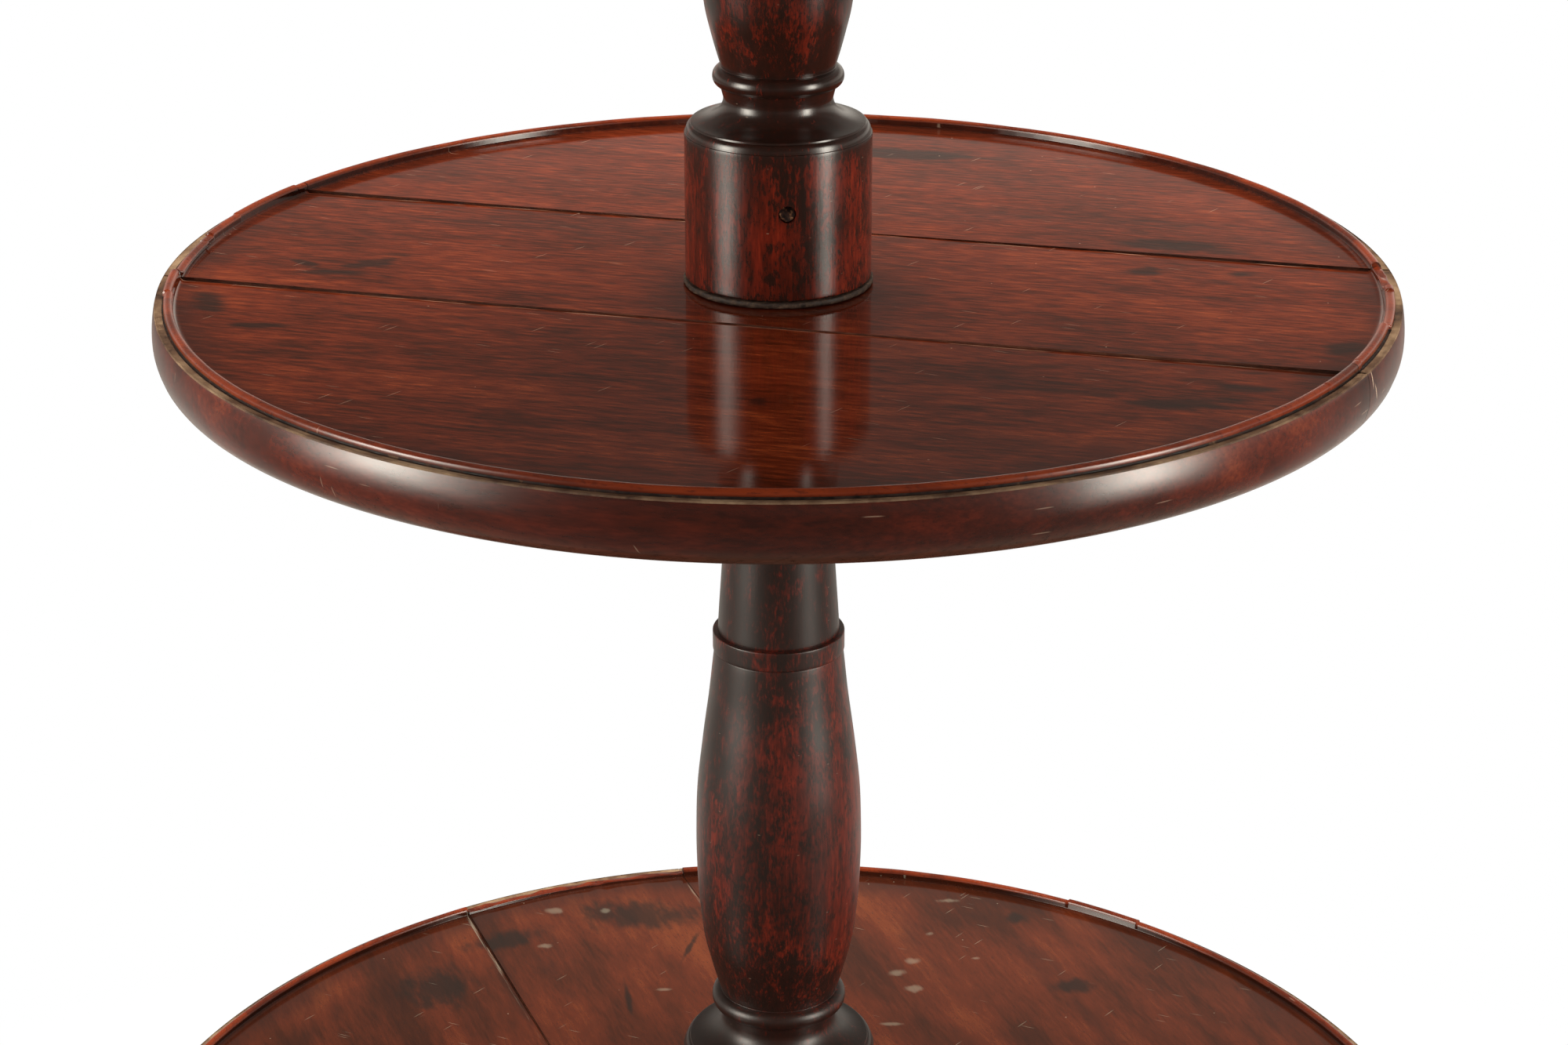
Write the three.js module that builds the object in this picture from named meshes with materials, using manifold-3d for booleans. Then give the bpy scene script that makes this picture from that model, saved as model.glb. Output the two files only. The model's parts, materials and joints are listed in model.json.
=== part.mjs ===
// A three-tier dumbwaiter table in turned mahogany, in millimetres, +Z up, standing on z = 0.
// Three dished round tiers turn freely on a pillar made of three turned sections. Each section
// ends in a spigot that passes up through the tier above it and into the drum of the next
// section, where a wooden peg locks it. Three cabriole legs are dovetailed into the lowest
// section, and an iron plate with three arms ties them from below.

import * as THREE from "three";
import { mergeVertices } from "three/addons/utils/BufferGeometryUtils.js";
import Module from "manifold-3d";

const wasm = await Module();
wasm.setup();

// Clearances and cutting
const seat = 0.3; // gap kept between two pieces that rest on each other or are glued
const turnPlay = 0.5; // radial play of a tier on its spigot
const overrun = 5; // how far a cutting tool runs past the face it cuts
const least = 1e-3; // vertices closer than this are one

// Facets round each kind of turned piece
const tierSides = 48;
const pillarSides = 24;
const blockSides = 20;
const fastenerSides = 8;
const footSides = 14;
const arcSteps = 3;

// Tier section, the same on all three tiers. Heights are from the flat of the tier.
const tierThick = 21.2; // from the flat down to the underside
const rim = {
  coveWidth: 3.2, // hollow that leads from the flat up to the bead
  coveRise: 1.6,
  beadWidth: 3.8,
  beadHeight: 4.5,
  beadRound: 1.9, // height of the bead's rounded top
  grooveWidth: 2.9, // sunk line between the bead and the nosing
  grooveFloor: 1.1,
  noseLip: 1.4,
  noseOut: 3.4, // nosing's reach beyond the groove
  noseFall: 7.5, // depth of the nosing's widest line below the flat
  noseUnder: 11, // how far the nosing curves back in under the tier
};

// Tiers: radius to the bead, turn of the boards at rest, and the places of their glue joints
const threeBoards = ["front_board", "centre_board", "back_board"];
const lowerTier = {
  name: "lower_tier", boardNames: threeBoards, beadRadius: 293, grainTurn: -69.4, joints: [-64, 54],
};
const middleTier = {
  name: "middle_tier", boardNames: threeBoards, beadRadius: 244, grainTurn: -14.3, joints: [-58.9, 72.2],
};
const twoBoards = ["front_board", "back_board"];
const topTier = {
  name: "top_tier", boardNames: twoBoards, beadRadius: 196, grainTurn: -38, joints: [-34],
};

// Blocks that stiffen the glued boards from below and bear on the pillar
const bearingBlock = { radius: 98, thick: 18, round: 6, screwInset: 14, firstScrew: 0 };
const topBlock = { radius: 76, thick: 24, round: 8, screwInset: 16, firstScrew: 45 };
const topSocketDepth = 17; // blind hole in the top block
const blockScrewCount = 4;
const blockScrew = { headRadius: 4.4, headDepth: 2.6, shankRadius: 2.2, bite: 12 };

// Leather washer under each drum
const washer = { thick: 2.7, proud: 0.9, play: 1.5 };

// Middle pillar section: a drum, a hollow, a bead, a long baluster, a ring, a neck and a collar
const middleSection = {
  drumRadius: 42.2,
  drumHeight: 64.7,
  drumEdge: 0.8, // bevel round the foot of the drum
  ovoloOut: 2.7,
  ovoloRise: 3.9,
  filletRise: 1.0,
  hollowRadius: 24.6, // narrowest part of the hollow
  hollowRise: 10.4,
  throatRise: 5.4, // from the hollow up to the bead
  throatFlare: 1.2,
  beadRadius: 29.5,
  beadRise: 8.3,
  balusterRise: 163.4,
  bellyRadius: 35.9,
  ringRadius: 28.1,
  ringRise: 8.5,
  neckFoot: 25.9,
  neckTop: 20.6,
  neckRise: 82.7,
  collarCove: 9.0, // reach of the cove under the collar
  coveRise: 22,
  collarRadius: 36,
  collarRise: 9.6,
};
const upperHeightShare = 0.927; // the upper section is the middle one made shorter
const upperRadiusShare = 0.9; // and thinner
const balusterOutlineShares = [
  [0, 0.713],
  [0.045, 0.775],
  [0.096, 0.838],
  [0.158, 0.906],
  [0.24, 0.953],
  [0.34, 0.986],
  [0.46, 1],
  [0.6, 0.98],
  [0.74, 0.912],
  [0.87, 0.832],
  [1, 0.768],
];

// Lowest pillar section: a block for the legs under a short vase
const baseBottom = 95; // height of the pillar's underside above the floor
const baseSection = {
  blockRadius: 41,
  blockRise: 106,
  stepIn: 3.2,
  stepRise: 4.2,
  hollowRadius: 27.5,
  hollowRise: 10,
  beadRadius: 32.5,
  beadRise: 8.6,
  vaseRise: 66,
  bellyRadius: 38,
  ringRadius: 30.5,
  ringInner: 27.4,
  ringRise: 7,
  collarCove: 7.5,
  coveRadius: 26,
  coveRise: 15,
  collarRadius: 41,
  collarRise: 13.9,
};
const vaseOutlineShares = [
  [0, 0.724],
  [0.12, 0.87],
  [0.26, 0.965],
  [0.4, 1],
  [0.56, 0.96],
  [0.72, 0.86],
  [0.87, 0.765],
  [1, 0.72],
];

// Spigots, the sockets over them, and the pegs that lock the two
const lowerSpigotRadius = 15;
const upperSpigotRadius = 13.5;
const topSpigotRadius = 12;
const socketDepth = 48; // how far a spigot runs up inside a drum
const socketPlay = 3; // free space over a spigot's end
const peg = { radius: 3.2, bite: 9, sunk: 0.7, heightShare: 0.6, turn: -84.4 };

// Legs: a top rail and an under rail in the leg's own plane. Reaches are shares of footReach.
// Heights are shares of legRise on the top rail, and of the pillar's height on the under rail.
const legNames = ["front_leg", "right_leg", "left_leg"];
const firstLegTurn = -90;
const legRise = 196; // height of the leg's top edge at the pillar
const footReach = 221; // from the pillar's flat to the centre of the foot
const topRailShares = [
  [0, 1],
  [0.13, 0.99],
  [0.27, 0.93],
  [0.4, 0.8],
  [0.52, 0.63],
  [0.64, 0.44],
  [0.76, 0.285],
  [0.89, 0.18],
  [1.04, 0.125],
];
const underRailShares = [
  [0, 1],
  [0.17, 1],
  [0.28, 0.975],
  [0.38, 0.86],
  [0.48, 0.66],
  [0.59, 0.43],
  [0.71, 0.25],
  [0.84, 0.14],
  [0.96, 0.11],
];
const legWidth = 42; // across the leg at the pillar
const legWidthShares = [1, 1, 0.96, 0.88, 0.8, 0.73, 0.67, 0.63, 0.66];
const legRings = 13;
const legPoints = 12;
const legFlatness = 5; // exponent of the section at the pillar, where it is nearly square
const legRoundness = 2.3; // exponent of the section at the ankle, where it is nearly an ellipse
const foot = { radius: 31, edgeRise: 6, domeRise: 12, domeRadius: 17, cushionRadius: 23, cushionRise: 7 };

// Dovetails that hold the legs
const tail = { neckWidth: 15, backWidth: 23, depth: 16, headroom: 8, footroom: 2 };

// Iron plate under the pillar
const plate = { thick: 2.6, hubRadius: 23, armWidth: 19, armReach: 70, screwInset: 12 };
const plateScrew = { headRadius: 4.6, headDepth: 2, shankRadius: 2.4, bite: 16 };

const wood = new THREE.MeshStandardMaterial({ color: 0x5a1e14, roughness: 0.3, metalness: 0 });
const darkWood = new THREE.MeshStandardMaterial({ color: 0x3f1a13, roughness: 0.34, metalness: 0 });
const pegWood = new THREE.MeshStandardMaterial({ color: 0x2c130d, roughness: 0.5, metalness: 0 });
const leather = new THREE.MeshStandardMaterial({ color: 0x1c1512, roughness: 0.85, metalness: 0 });
const iron = new THREE.MeshStandardMaterial({ color: 0x2c2a29, roughness: 0.6, metalness: 0.9 });

// Makes a solid from a closed geometry, without the flat slivers on a lathe's axis.
function solidOf(geometry) {
  const bare = geometry.clone();
  bare.deleteAttribute("normal");
  bare.deleteAttribute("uv");
  const merged = mergeVertices(bare, least);
  const corners = merged.index.array;
  const kept = [];
  for (let i = 0; i < corners.length; i += 3) {
    const [a, b, c] = corners.slice(i, i + 3);
    if (a !== b && b !== c && c !== a) kept.push(a, b, c);
  }
  const vertProperties = new Float32Array(merged.attributes.position.array);
  const mesh = new wasm.Mesh({ numProp: 3, vertProperties, triVerts: new Uint32Array(kept) });
  return new wasm.Manifold(mesh);
}

// Makes a named mesh from a solid.
function meshOf(name, solid, material) {
  const { numProp, vertProperties, triVerts } = solid.getMesh();
  const position = [];
  for (let i = 0; i < vertProperties.length; i += numProp) {
    position.push(...vertProperties.subarray(i, i + 3));
  }
  const geometry = new THREE.BufferGeometry();
  geometry.setAttribute("position", new THREE.Float32BufferAttribute(position, 3));
  geometry.setIndex(Array.from(triVerts));
  geometry.computeVertexNormals();
  const mesh = new THREE.Mesh(geometry, material);
  mesh.name = name;
  return mesh;
}

// Revolves an outline of [radius, height] pairs round Z. It runs from the top down.
function turned(outline, sides) {
  const points = outline.map(([radius, height]) => new THREE.Vector2(radius, height)).reverse();
  return solidOf(new THREE.LatheGeometry(points, sides).rotateX(Math.PI / 2));
}

// A plain cylinder on the Z axis.
function cylinder(radius, bottom, top, sides) {
  return turned([[0, top], [radius, top], [radius, bottom], [0, bottom]], sides);
}

// A box given by its lowest and its highest corner.
function box(low, high) {
  const size = high.map((value, i) => value - low[i]);
  const middle = high.map((value, i) => (value + low[i]) / 2);
  return solidOf(new THREE.BoxGeometry(...size).translate(...middle));
}

// An upright prism on an outline of [x, y] pairs.
function prism(outline, bottom, top) {
  const shape = new THREE.Shape(outline.map(([x, y]) => new THREE.Vector2(x, y)));
  const geometry = new THREE.ExtrudeGeometry(shape, { depth: top - bottom, bevelEnabled: false });
  return solidOf(geometry.translate(0, 0, bottom));
}

// Skins a closed body over rings that have the same number of points.
function skinned(rings) {
  const count = rings[0].length;
  const total = (ring) => ring.reduce((sum, point) => sum.add(point), new THREE.Vector3());
  const centreOf = (ring) => total(ring).divideScalar(count);
  const vertices = [...rings.flat(), centreOf(rings[0]), centreOf(rings.at(-1))];
  const startCentre = vertices.length - 2;
  const endCentre = vertices.length - 1;
  const endRing = (rings.length - 1) * count;
  const index = [];
  for (let i = 0; i < count; i++) {
    const next = (i + 1) % count;
    for (let near = 0; near < endRing; near += count) {
      const far = near + count;
      index.push(near + i, near + next, far + i, near + next, far + next, far + i);
    }
    index.push(startCentre, next, i, endCentre, endRing + i, endRing + next);
  }
  return solidOf(new THREE.BufferGeometry().setFromPoints(vertices).setIndex(index));
}

// Points on an elliptical arc, with both ends. Angles are in degrees from the outward radius.
function arc([x, z], reach, rise, from, to, steps = arcSteps) {
  return Array.from({ length: steps + 1 }, (_, i) => {
    const angle = THREE.MathUtils.degToRad(from + ((to - from) * i) / steps);
    return [x + reach * Math.cos(angle), z + rise * Math.sin(angle)];
  });
}

// A half-round bead, from the top down.
function bead(bottom, rise, inner, outer) {
  return arc([inner, bottom + rise / 2], outer - inner, rise / 2, 80, -80);
}

// A swelling curve given by shares of its height and of its belly's radius, from the top down.
function swell(outlineShares, bottom, rise, belly) {
  return outlineShares.map(([up, out]) => [belly * out, bottom + rise * up]).reverse();
}

// A spigot on a rounded collar with a cove under it, from the top down.
function collarAndSpigot(s, coveFoot, neckRadius, spigotRadius, spigotRise) {
  const coveTop = coveFoot + s.coveRise;
  const top = coveTop + s.collarRise;
  const coveEnd = neckRadius + s.collarCove;
  return [
    [0, top + spigotRise],
    [spigotRadius, top + spigotRise],
    [spigotRadius, top],
    ...arc([coveEnd, coveTop + s.collarRise / 2], s.collarRadius - coveEnd, s.collarRise / 2, 90, -90),
    ...arc([coveEnd, coveFoot], s.collarCove, s.coveRise, 90, 180),
  ];
}

// Adds rises up from a foot, and gives the height of each line between them.
function stacked(rises) {
  return rises.reduce((heights, rise) => [...heights, heights.at(-1) + rise], [0]);
}

// The rises of a section's parts, from its foot up
function sectionRises(s) {
  return [
    s.drumHeight, s.ovoloRise, s.filletRise, s.hollowRise, s.throatRise, s.beadRise,
    s.balusterRise, s.ringRise, s.neckRise, s.coveRise, s.collarRise,
  ];
}
function baseRises(s) {
  return [
    s.blockRise, s.stepRise, s.hollowRise, s.beadRise,
    s.vaseRise, s.ringRise, s.coveRise, s.collarRise,
  ];
}

// Outline of a section that stands on a tier.
function sectionOutline(s, spigotRadius, spigotRise) {
  const [, drumTop, filletFoot, hollowFoot, throat, beadFoot, ...upper] = stacked(sectionRises(s));
  const [balusterFoot, ringFoot, neckFoot, coveFoot] = upper;
  const edge = s.drumRadius - s.ovoloOut;
  return [
    ...collarAndSpigot(s, coveFoot, s.neckTop, spigotRadius, spigotRise),
    [s.neckFoot, neckFoot],
    [s.ringRadius, neckFoot],
    [s.ringRadius, ringFoot],
    ...swell(balusterOutlineShares, balusterFoot, s.balusterRise, s.bellyRadius),
    ...bead(beadFoot, s.beadRise, s.hollowRadius + s.throatFlare, s.beadRadius),
    ...arc([edge, throat], edge - s.hollowRadius, throat - hollowFoot, 180, 270),
    ...arc([edge, drumTop], s.ovoloOut, filletFoot - drumTop, 90, 0),
    [s.drumRadius, s.drumEdge],
    [s.drumRadius - s.drumEdge, 0],
    [0, 0],
  ];
}

// Outline of the lowest section.
function baseOutline(s, spigotRadius, spigotRise) {
  const [, blockTop, hollowFoot, beadFoot, vaseFoot, ringFoot, coveFoot] = stacked(baseRises(s));
  const edge = s.blockRadius - s.stepIn;
  return [
    ...collarAndSpigot(s, coveFoot, s.coveRadius, spigotRadius, spigotRise),
    ...bead(ringFoot, s.ringRise, s.ringInner, s.ringRadius),
    ...swell(vaseOutlineShares, vaseFoot, s.vaseRise, s.bellyRadius),
    ...bead(beadFoot, s.beadRise, s.hollowRadius, s.beadRadius),
    ...arc([edge, beadFoot], edge - s.hollowRadius, s.hollowRise, 180, 270),
    ...arc([edge, blockTop], s.stepIn, hollowFoot - blockTop, 90, 0, 2),
    [s.blockRadius, 0],
    [0, 0],
  ];
}

// Outline of a tier, with its flat at height zero.
function tierOutline(beadRadius) {
  const flatEnd = beadRadius - rim.coveWidth;
  const beadEnd = beadRadius + rim.beadWidth;
  const noseStart = beadEnd + rim.grooveWidth;
  const noseDepth = tierThick - rim.noseFall;
  const underEnd = noseStart + rim.noseOut - rim.noseUnder;
  const beadCentre = [beadRadius + rim.beadWidth / 2, rim.beadHeight - rim.beadRound];
  return [
    [0, 0],
    [flatEnd, 0],
    [flatEnd + rim.coveWidth / 2, rim.coveRise / 3],
    [beadRadius, rim.coveRise],
    ...arc(beadCentre, rim.beadWidth / 2, rim.beadRound, 180, 0, 4),
    [beadEnd, rim.grooveFloor],
    [noseStart, rim.grooveFloor],
    ...arc([noseStart, -rim.noseFall], rim.noseOut, rim.noseFall + rim.noseLip, 90, 0),
    ...arc([underEnd, -rim.noseFall], rim.noseUnder, noseDepth, -30, -90, 2),
    [0, -tierThick],
  ];
}

// Outline of a block that is rounded below, with its underside at height zero.
function blockOutline(block) {
  return [
    [0, block.thick],
    [block.radius, block.thick],
    ...arc([block.radius - block.round, block.round], block.round, block.round, 0, -90, 2),
    [0, 0],
  ];
}

// Outline of a foot, with its underside at height zero.
function footOutline() {
  const edgeTop = foot.cushionRise + foot.edgeRise;
  const domeReach = foot.radius - foot.domeRadius;
  const edgeReach = foot.radius - foot.cushionRadius;
  return [
    [0, edgeTop + foot.domeRise],
    ...arc([foot.domeRadius, edgeTop], domeReach, foot.domeRise, 90, 0),
    ...arc([foot.cushionRadius, edgeTop], edgeReach, foot.edgeRise, -30, -90, 2),
    [foot.cushionRadius, 0],
    [0, 0],
  ];
}

// A countersunk screw that points up, and the hole it sits in.
function screwAndHole(screw, length, place) {
  const outline = (growth, below) => [
    [0, length + growth],
    [screw.shankRadius + growth, length + growth],
    [screw.shankRadius + growth, screw.headDepth + growth],
    [screw.headRadius + growth, growth],
    [screw.headRadius + growth, -below],
    [0, -below],
  ];
  const [body, hole] = [outline(0, 0), outline(seat, overrun)].map((points) =>
    turned(points, fastenerSides).translate(place),
  );
  return { body, hole };
}

// A rod that lies along X.
function rod(radius, from, to, height) {
  return cylinder(radius, from, to, fastenerSides).rotate([0, 90, 0]).translate([0, 0, height]);
}

// A place on a circle, at an angle in degrees.
function onCircle(radius, degrees, height) {
  const angle = THREE.MathUtils.degToRad(degrees);
  return [radius * Math.cos(angle), radius * Math.sin(angle), height];
}

const spun = (solid, degrees) => solid.rotate([0, 0, degrees]);
const cut = (solid, ...tools) => tools.reduce((left, tool) => left.subtract(tool), solid);
const fused = (solid, ...others) => others.reduce((whole, other) => whole.add(other), solid);
const sum = (sizes) => sizes.reduce((total, size) => total + size, 0);

// The upper section, worked out from the middle one
const upperSection = Object.fromEntries(
  Object.entries(middleSection).map(([name, size]) => {
    const share = /Rise|Height/.test(name) ? upperHeightShare : upperRadiusShare;
    return [name, size * share];
  }),
);

// Heights above the floor, from the lowest section up
const onWasher = sum([seat, washer.thick, seat]);
const onBlock = (block) => sum([seat, block.thick, seat, tierThick]);
const lowerFlat = baseBottom + sum(baseRises(baseSection)) + onBlock(bearingBlock);
const middleFoot = lowerFlat + onWasher;
const middleFlat = middleFoot + sum(sectionRises(middleSection)) + onBlock(bearingBlock);
const upperFoot = middleFlat + onWasher;
const topFlat = upperFoot + sum(sectionRises(upperSection)) + onBlock(topBlock);

// How far the spigots rise over their collars
const spigotRise = onBlock(bearingBlock) + onWasher + socketDepth;
const topSpigotRise = seat + topSocketDepth - socketPlay;

// The leg stands off a flat on the pillar's block, as wide as the leg.
const pillarFlat = Math.sqrt(baseSection.blockRadius ** 2 - (legWidth / 2) ** 2);
const shoulder = pillarFlat + seat;
const legTurns = legNames.map((_, i) => firstLegTurn + (360 / legNames.length) * i);

// The body of a leg between its two rails, in a frame whose X runs outward along the leg.
function legBody() {
  const curve = (points) => new THREE.SplineCurve(points.map(([x, y]) => new THREE.Vector2(x, y)));
  const railOf = (shares, rise) => curve(shares.map(([out, up]) => [shoulder + footReach * out, rise * up]));
  const topRail = railOf(topRailShares, legRise);
  const underRail = railOf(underRailShares, baseBottom);
  const widths = curve(legWidthShares.map((share, i) => [i, legWidth * share]));
  const bent = (value, power) => Math.sign(value) * Math.abs(value) ** power;
  const rings = Array.from({ length: legRings }, (_, r) => {
    const along = r / (legRings - 1);
    const high = topRail.getPoint(along);
    const low = underRail.getPoint(along);
    const squareness = THREE.MathUtils.lerp(legFlatness, legRoundness, Math.min(1, 2 * along));
    const power = 2 / squareness;
    const halfStep = Math.PI / legPoints;
    const fit = 1 / Math.cos(halfStep) ** power;
    return Array.from({ length: legPoints }, (_, i) => {
      const angle = halfStep * (2 * i + 1);
      const across = fit * bent(Math.cos(angle), power);
      const up = fit * bent(Math.sin(angle), power);
      const middle = high.clone().lerp(low, (1 - up) / 2);
      return new THREE.Vector3(middle.x, (across * widths.getPoint(along).y) / 2, middle.y);
    });
  });
  return skinned(rings);
}

// The dovetail of a leg, or its mortise when it is grown.
function tailBody(growth, bottom) {
  const neck = tail.neckWidth / 2 + growth;
  const back = tail.backWidth / 2 + growth;
  const inner = shoulder - tail.depth - growth;
  const outline = [
    [inner, -back],
    [shoulder, -neck],
    [shoulder + overrun, -neck],
    [shoulder + overrun, neck],
    [shoulder, neck],
    [inner, back],
  ];
  return prism(outline, bottom, legRise - tail.headroom + growth);
}

const plateBottom = baseBottom - seat - plate.thick;
const plateFastener = screwAndHole(plateScrew, plate.thick + plateScrew.bite, [
  plate.armReach - plate.screwInset, 0, plateBottom + seat,
]);

function leg() {
  const footBody = turned(footOutline(), footSides).translate([shoulder + footReach, 0, 0]);
  return cut(fused(legBody(), footBody, tailBody(0, baseBottom + tail.footroom)), plateFastener.hole);
}

function legPlate() {
  const top = plateBottom + plate.thick;
  const half = plate.armWidth / 2;
  const armEnd = plate.armReach - half;
  const arm = fused(
    box([0, -half, plateBottom], [armEnd, half, top]),
    cylinder(half, plateBottom, top, fastenerSides).translate([armEnd, 0, 0]),
  );
  const hub = cylinder(plate.hubRadius, plateBottom, top, pillarSides);
  const whole = fused(hub, ...legTurns.map((turn) => spun(arm, turn)));
  return cut(whole, ...legTurns.map((turn) => spun(plateFastener.hole, turn)));
}

// The peg through a drum, and its hole through the drum and into the spigot.
function pegAndHole(drumRadius, drumHeight, spigotRadius) {
  const height = drumHeight * peg.heightShare;
  const inner = spigotRadius - peg.bite;
  return {
    body: spun(rod(peg.radius, inner, drumRadius - peg.sunk, height), peg.turn),
    hole: spun(rod(peg.radius + seat, inner - seat, drumRadius + overrun, height), peg.turn),
  };
}

const lowerPeg = pegAndHole(middleSection.drumRadius, middleSection.drumHeight, lowerSpigotRadius);
const upperPeg = pegAndHole(upperSection.drumRadius, upperSection.drumHeight, upperSpigotRadius);

// A socket in the foot of a drum.
function socket(spigotRadius) {
  return cylinder(spigotRadius + seat, -overrun, socketDepth + socketPlay, pillarSides);
}

// The lowest section, with flats and mortises for the legs, and its peg's hole high in its spigot.
function basePillar() {
  const whole = turned(baseOutline(baseSection, lowerSpigotRadius, spigotRise), pillarSides);
  const placed = whole.translate([0, 0, baseBottom]);
  const below = baseBottom - overrun;
  const outside = baseSection.blockRadius + overrun;
  const flat = box([pillarFlat, -legWidth, below], [outside, legWidth, legRise + seat]);
  const legCuts = legTurns.flatMap((turn) => [spun(flat, turn), spun(tailBody(seat, below), turn)]);
  return cut(placed, ...legCuts, lowerPeg.hole.translate([0, 0, middleFoot]));
}

function lowerColumn() {
  const whole = turned(sectionOutline(middleSection, upperSpigotRadius, spigotRise), pillarSides);
  const bored = cut(whole, socket(lowerSpigotRadius), lowerPeg.hole);
  return cut(bored, upperPeg.hole.translate([0, 0, upperFoot - middleFoot]));
}

function upperColumn() {
  const whole = turned(sectionOutline(upperSection, topSpigotRadius, topSpigotRise), pillarSides);
  return cut(whole, socket(upperSpigotRadius), upperPeg.hole);
}

function washerRing(drumRadius, spigotRadius) {
  const inner = spigotRadius + washer.play;
  const ring = cylinder(drumRadius + washer.proud, 0, washer.thick, pillarSides);
  return cut(ring, cylinder(inner, -overrun, washer.thick + overrun, pillarSides));
}

// A tier: boards glued edge to edge, turned with their rim, on a block held by screws.
function tier(sizes, block, flatHeight, hole) {
  const { name, beadRadius, grainTurn, joints, boardNames } = sizes;
  const group = new THREE.Group();
  group.position.z = flatHeight;
  group.rotation.z = THREE.MathUtils.degToRad(grainTurn);

  const blockBottom = -sum([tierThick, seat, block.thick]);
  const fasteners = Array.from({ length: blockScrewCount }, (_, i) => {
    const turn = block.firstScrew + (360 / blockScrewCount) * i;
    const place = onCircle(block.radius - block.screwInset, turn, blockBottom + seat);
    return screwAndHole(blockScrew, block.thick + blockScrew.bite, place);
  });
  const holes = [hole, ...fasteners.map((fastener) => fastener.hole)];

  const disc = cut(spun(turned(tierOutline(beadRadius), tierSides), -grainTurn), ...holes);
  const clear = sum([beadRadius, rim.beadWidth, rim.grooveWidth, rim.noseOut, overrun]);
  const edges = [-clear, ...joints, clear];
  boardNames.forEach((board, i) => {
    const low = [-clear, edges[i] + seat / 2, -clear];
    const high = [clear, edges[i + 1] - seat / 2, clear];
    group.add(meshOf(`${name}_${board}`, disc.intersect(box(low, high)), wood));
  });

  const blockBody = turned(blockOutline(block), blockSides).translate([0, 0, blockBottom]);
  group.add(meshOf(`${name}_block`, cut(blockBody, ...holes), darkWood));
  fasteners.forEach((fastener, i) => group.add(meshOf(`${name}_screw_${i + 1}`, fastener.body, iron)));
  return group;
}

// A bore right through a tier, or a blind socket in the block of the top one
const throughBore = (spigotRadius) =>
  cylinder(spigotRadius + turnPlay, -onBlock(bearingBlock) - overrun, overrun, pillarSides);
const topSocketBottom = -sum([tierThick, seat, topBlock.thick]);
const topSocket = cylinder(
  topSpigotRadius + turnPlay, topSocketBottom - overrun, topSocketBottom + topSocketDepth, pillarSides,
);

const table = new THREE.Group();

// Adds a mesh at a height above the floor, turned about the pillar.
function place(name, solid, material, height = 0, turn = 0) {
  const mesh = meshOf(name, solid, material);
  mesh.position.z = height;
  mesh.rotation.z = THREE.MathUtils.degToRad(turn);
  table.add(mesh);
}

place("base_pillar", basePillar(), wood);
place("lower_column", lowerColumn(), wood, middleFoot);
place("upper_column", upperColumn(), wood, upperFoot);
place("lower_peg", lowerPeg.body, pegWood, middleFoot);
place("upper_peg", upperPeg.body, pegWood, upperFoot);
place("lower_washer", washerRing(middleSection.drumRadius, lowerSpigotRadius), leather, lowerFlat + seat);
place("upper_washer", washerRing(upperSection.drumRadius, upperSpigotRadius), leather, middleFlat + seat);
legNames.forEach((name, i) => {
  place(name, leg(), wood, 0, legTurns[i]);
  place(`plate_screw_${i + 1}`, plateFastener.body, iron, 0, legTurns[i]);
});
place("leg_plate", legPlate(), iron);
table.add(tier(lowerTier, bearingBlock, lowerFlat, throughBore(lowerSpigotRadius)));
table.add(tier(middleTier, bearingBlock, middleFlat, throughBore(upperSpigotRadius)));
table.add(tier(topTier, topBlock, topFlat, topSocket));

export default table;
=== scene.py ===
# Looks of an old three-tier dumbwaiter table in polished mahogany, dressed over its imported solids.
# Sizes are in millimetres and become metres when a mesh is made. +Z is up, and the floor is z = 0.

import json
import math
from itertools import accumulate
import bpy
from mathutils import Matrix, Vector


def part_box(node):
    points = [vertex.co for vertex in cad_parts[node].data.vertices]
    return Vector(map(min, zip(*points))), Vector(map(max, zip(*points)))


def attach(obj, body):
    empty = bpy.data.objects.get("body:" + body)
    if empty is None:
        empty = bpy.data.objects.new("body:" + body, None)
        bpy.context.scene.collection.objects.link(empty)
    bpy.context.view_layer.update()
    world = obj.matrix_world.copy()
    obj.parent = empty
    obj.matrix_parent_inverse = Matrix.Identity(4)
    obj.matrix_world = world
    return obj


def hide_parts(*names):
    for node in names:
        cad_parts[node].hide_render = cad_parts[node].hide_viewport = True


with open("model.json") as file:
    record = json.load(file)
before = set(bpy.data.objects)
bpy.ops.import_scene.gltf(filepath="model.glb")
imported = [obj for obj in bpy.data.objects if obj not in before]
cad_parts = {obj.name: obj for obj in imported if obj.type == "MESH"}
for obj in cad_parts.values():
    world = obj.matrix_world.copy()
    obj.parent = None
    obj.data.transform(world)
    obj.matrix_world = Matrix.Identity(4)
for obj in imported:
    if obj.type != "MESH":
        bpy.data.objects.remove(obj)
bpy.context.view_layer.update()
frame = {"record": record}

from types import SimpleNamespace as Sizes

import bmesh
import bpy
from mathutils import Matrix, Vector, noise

MM = 0.001

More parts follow.
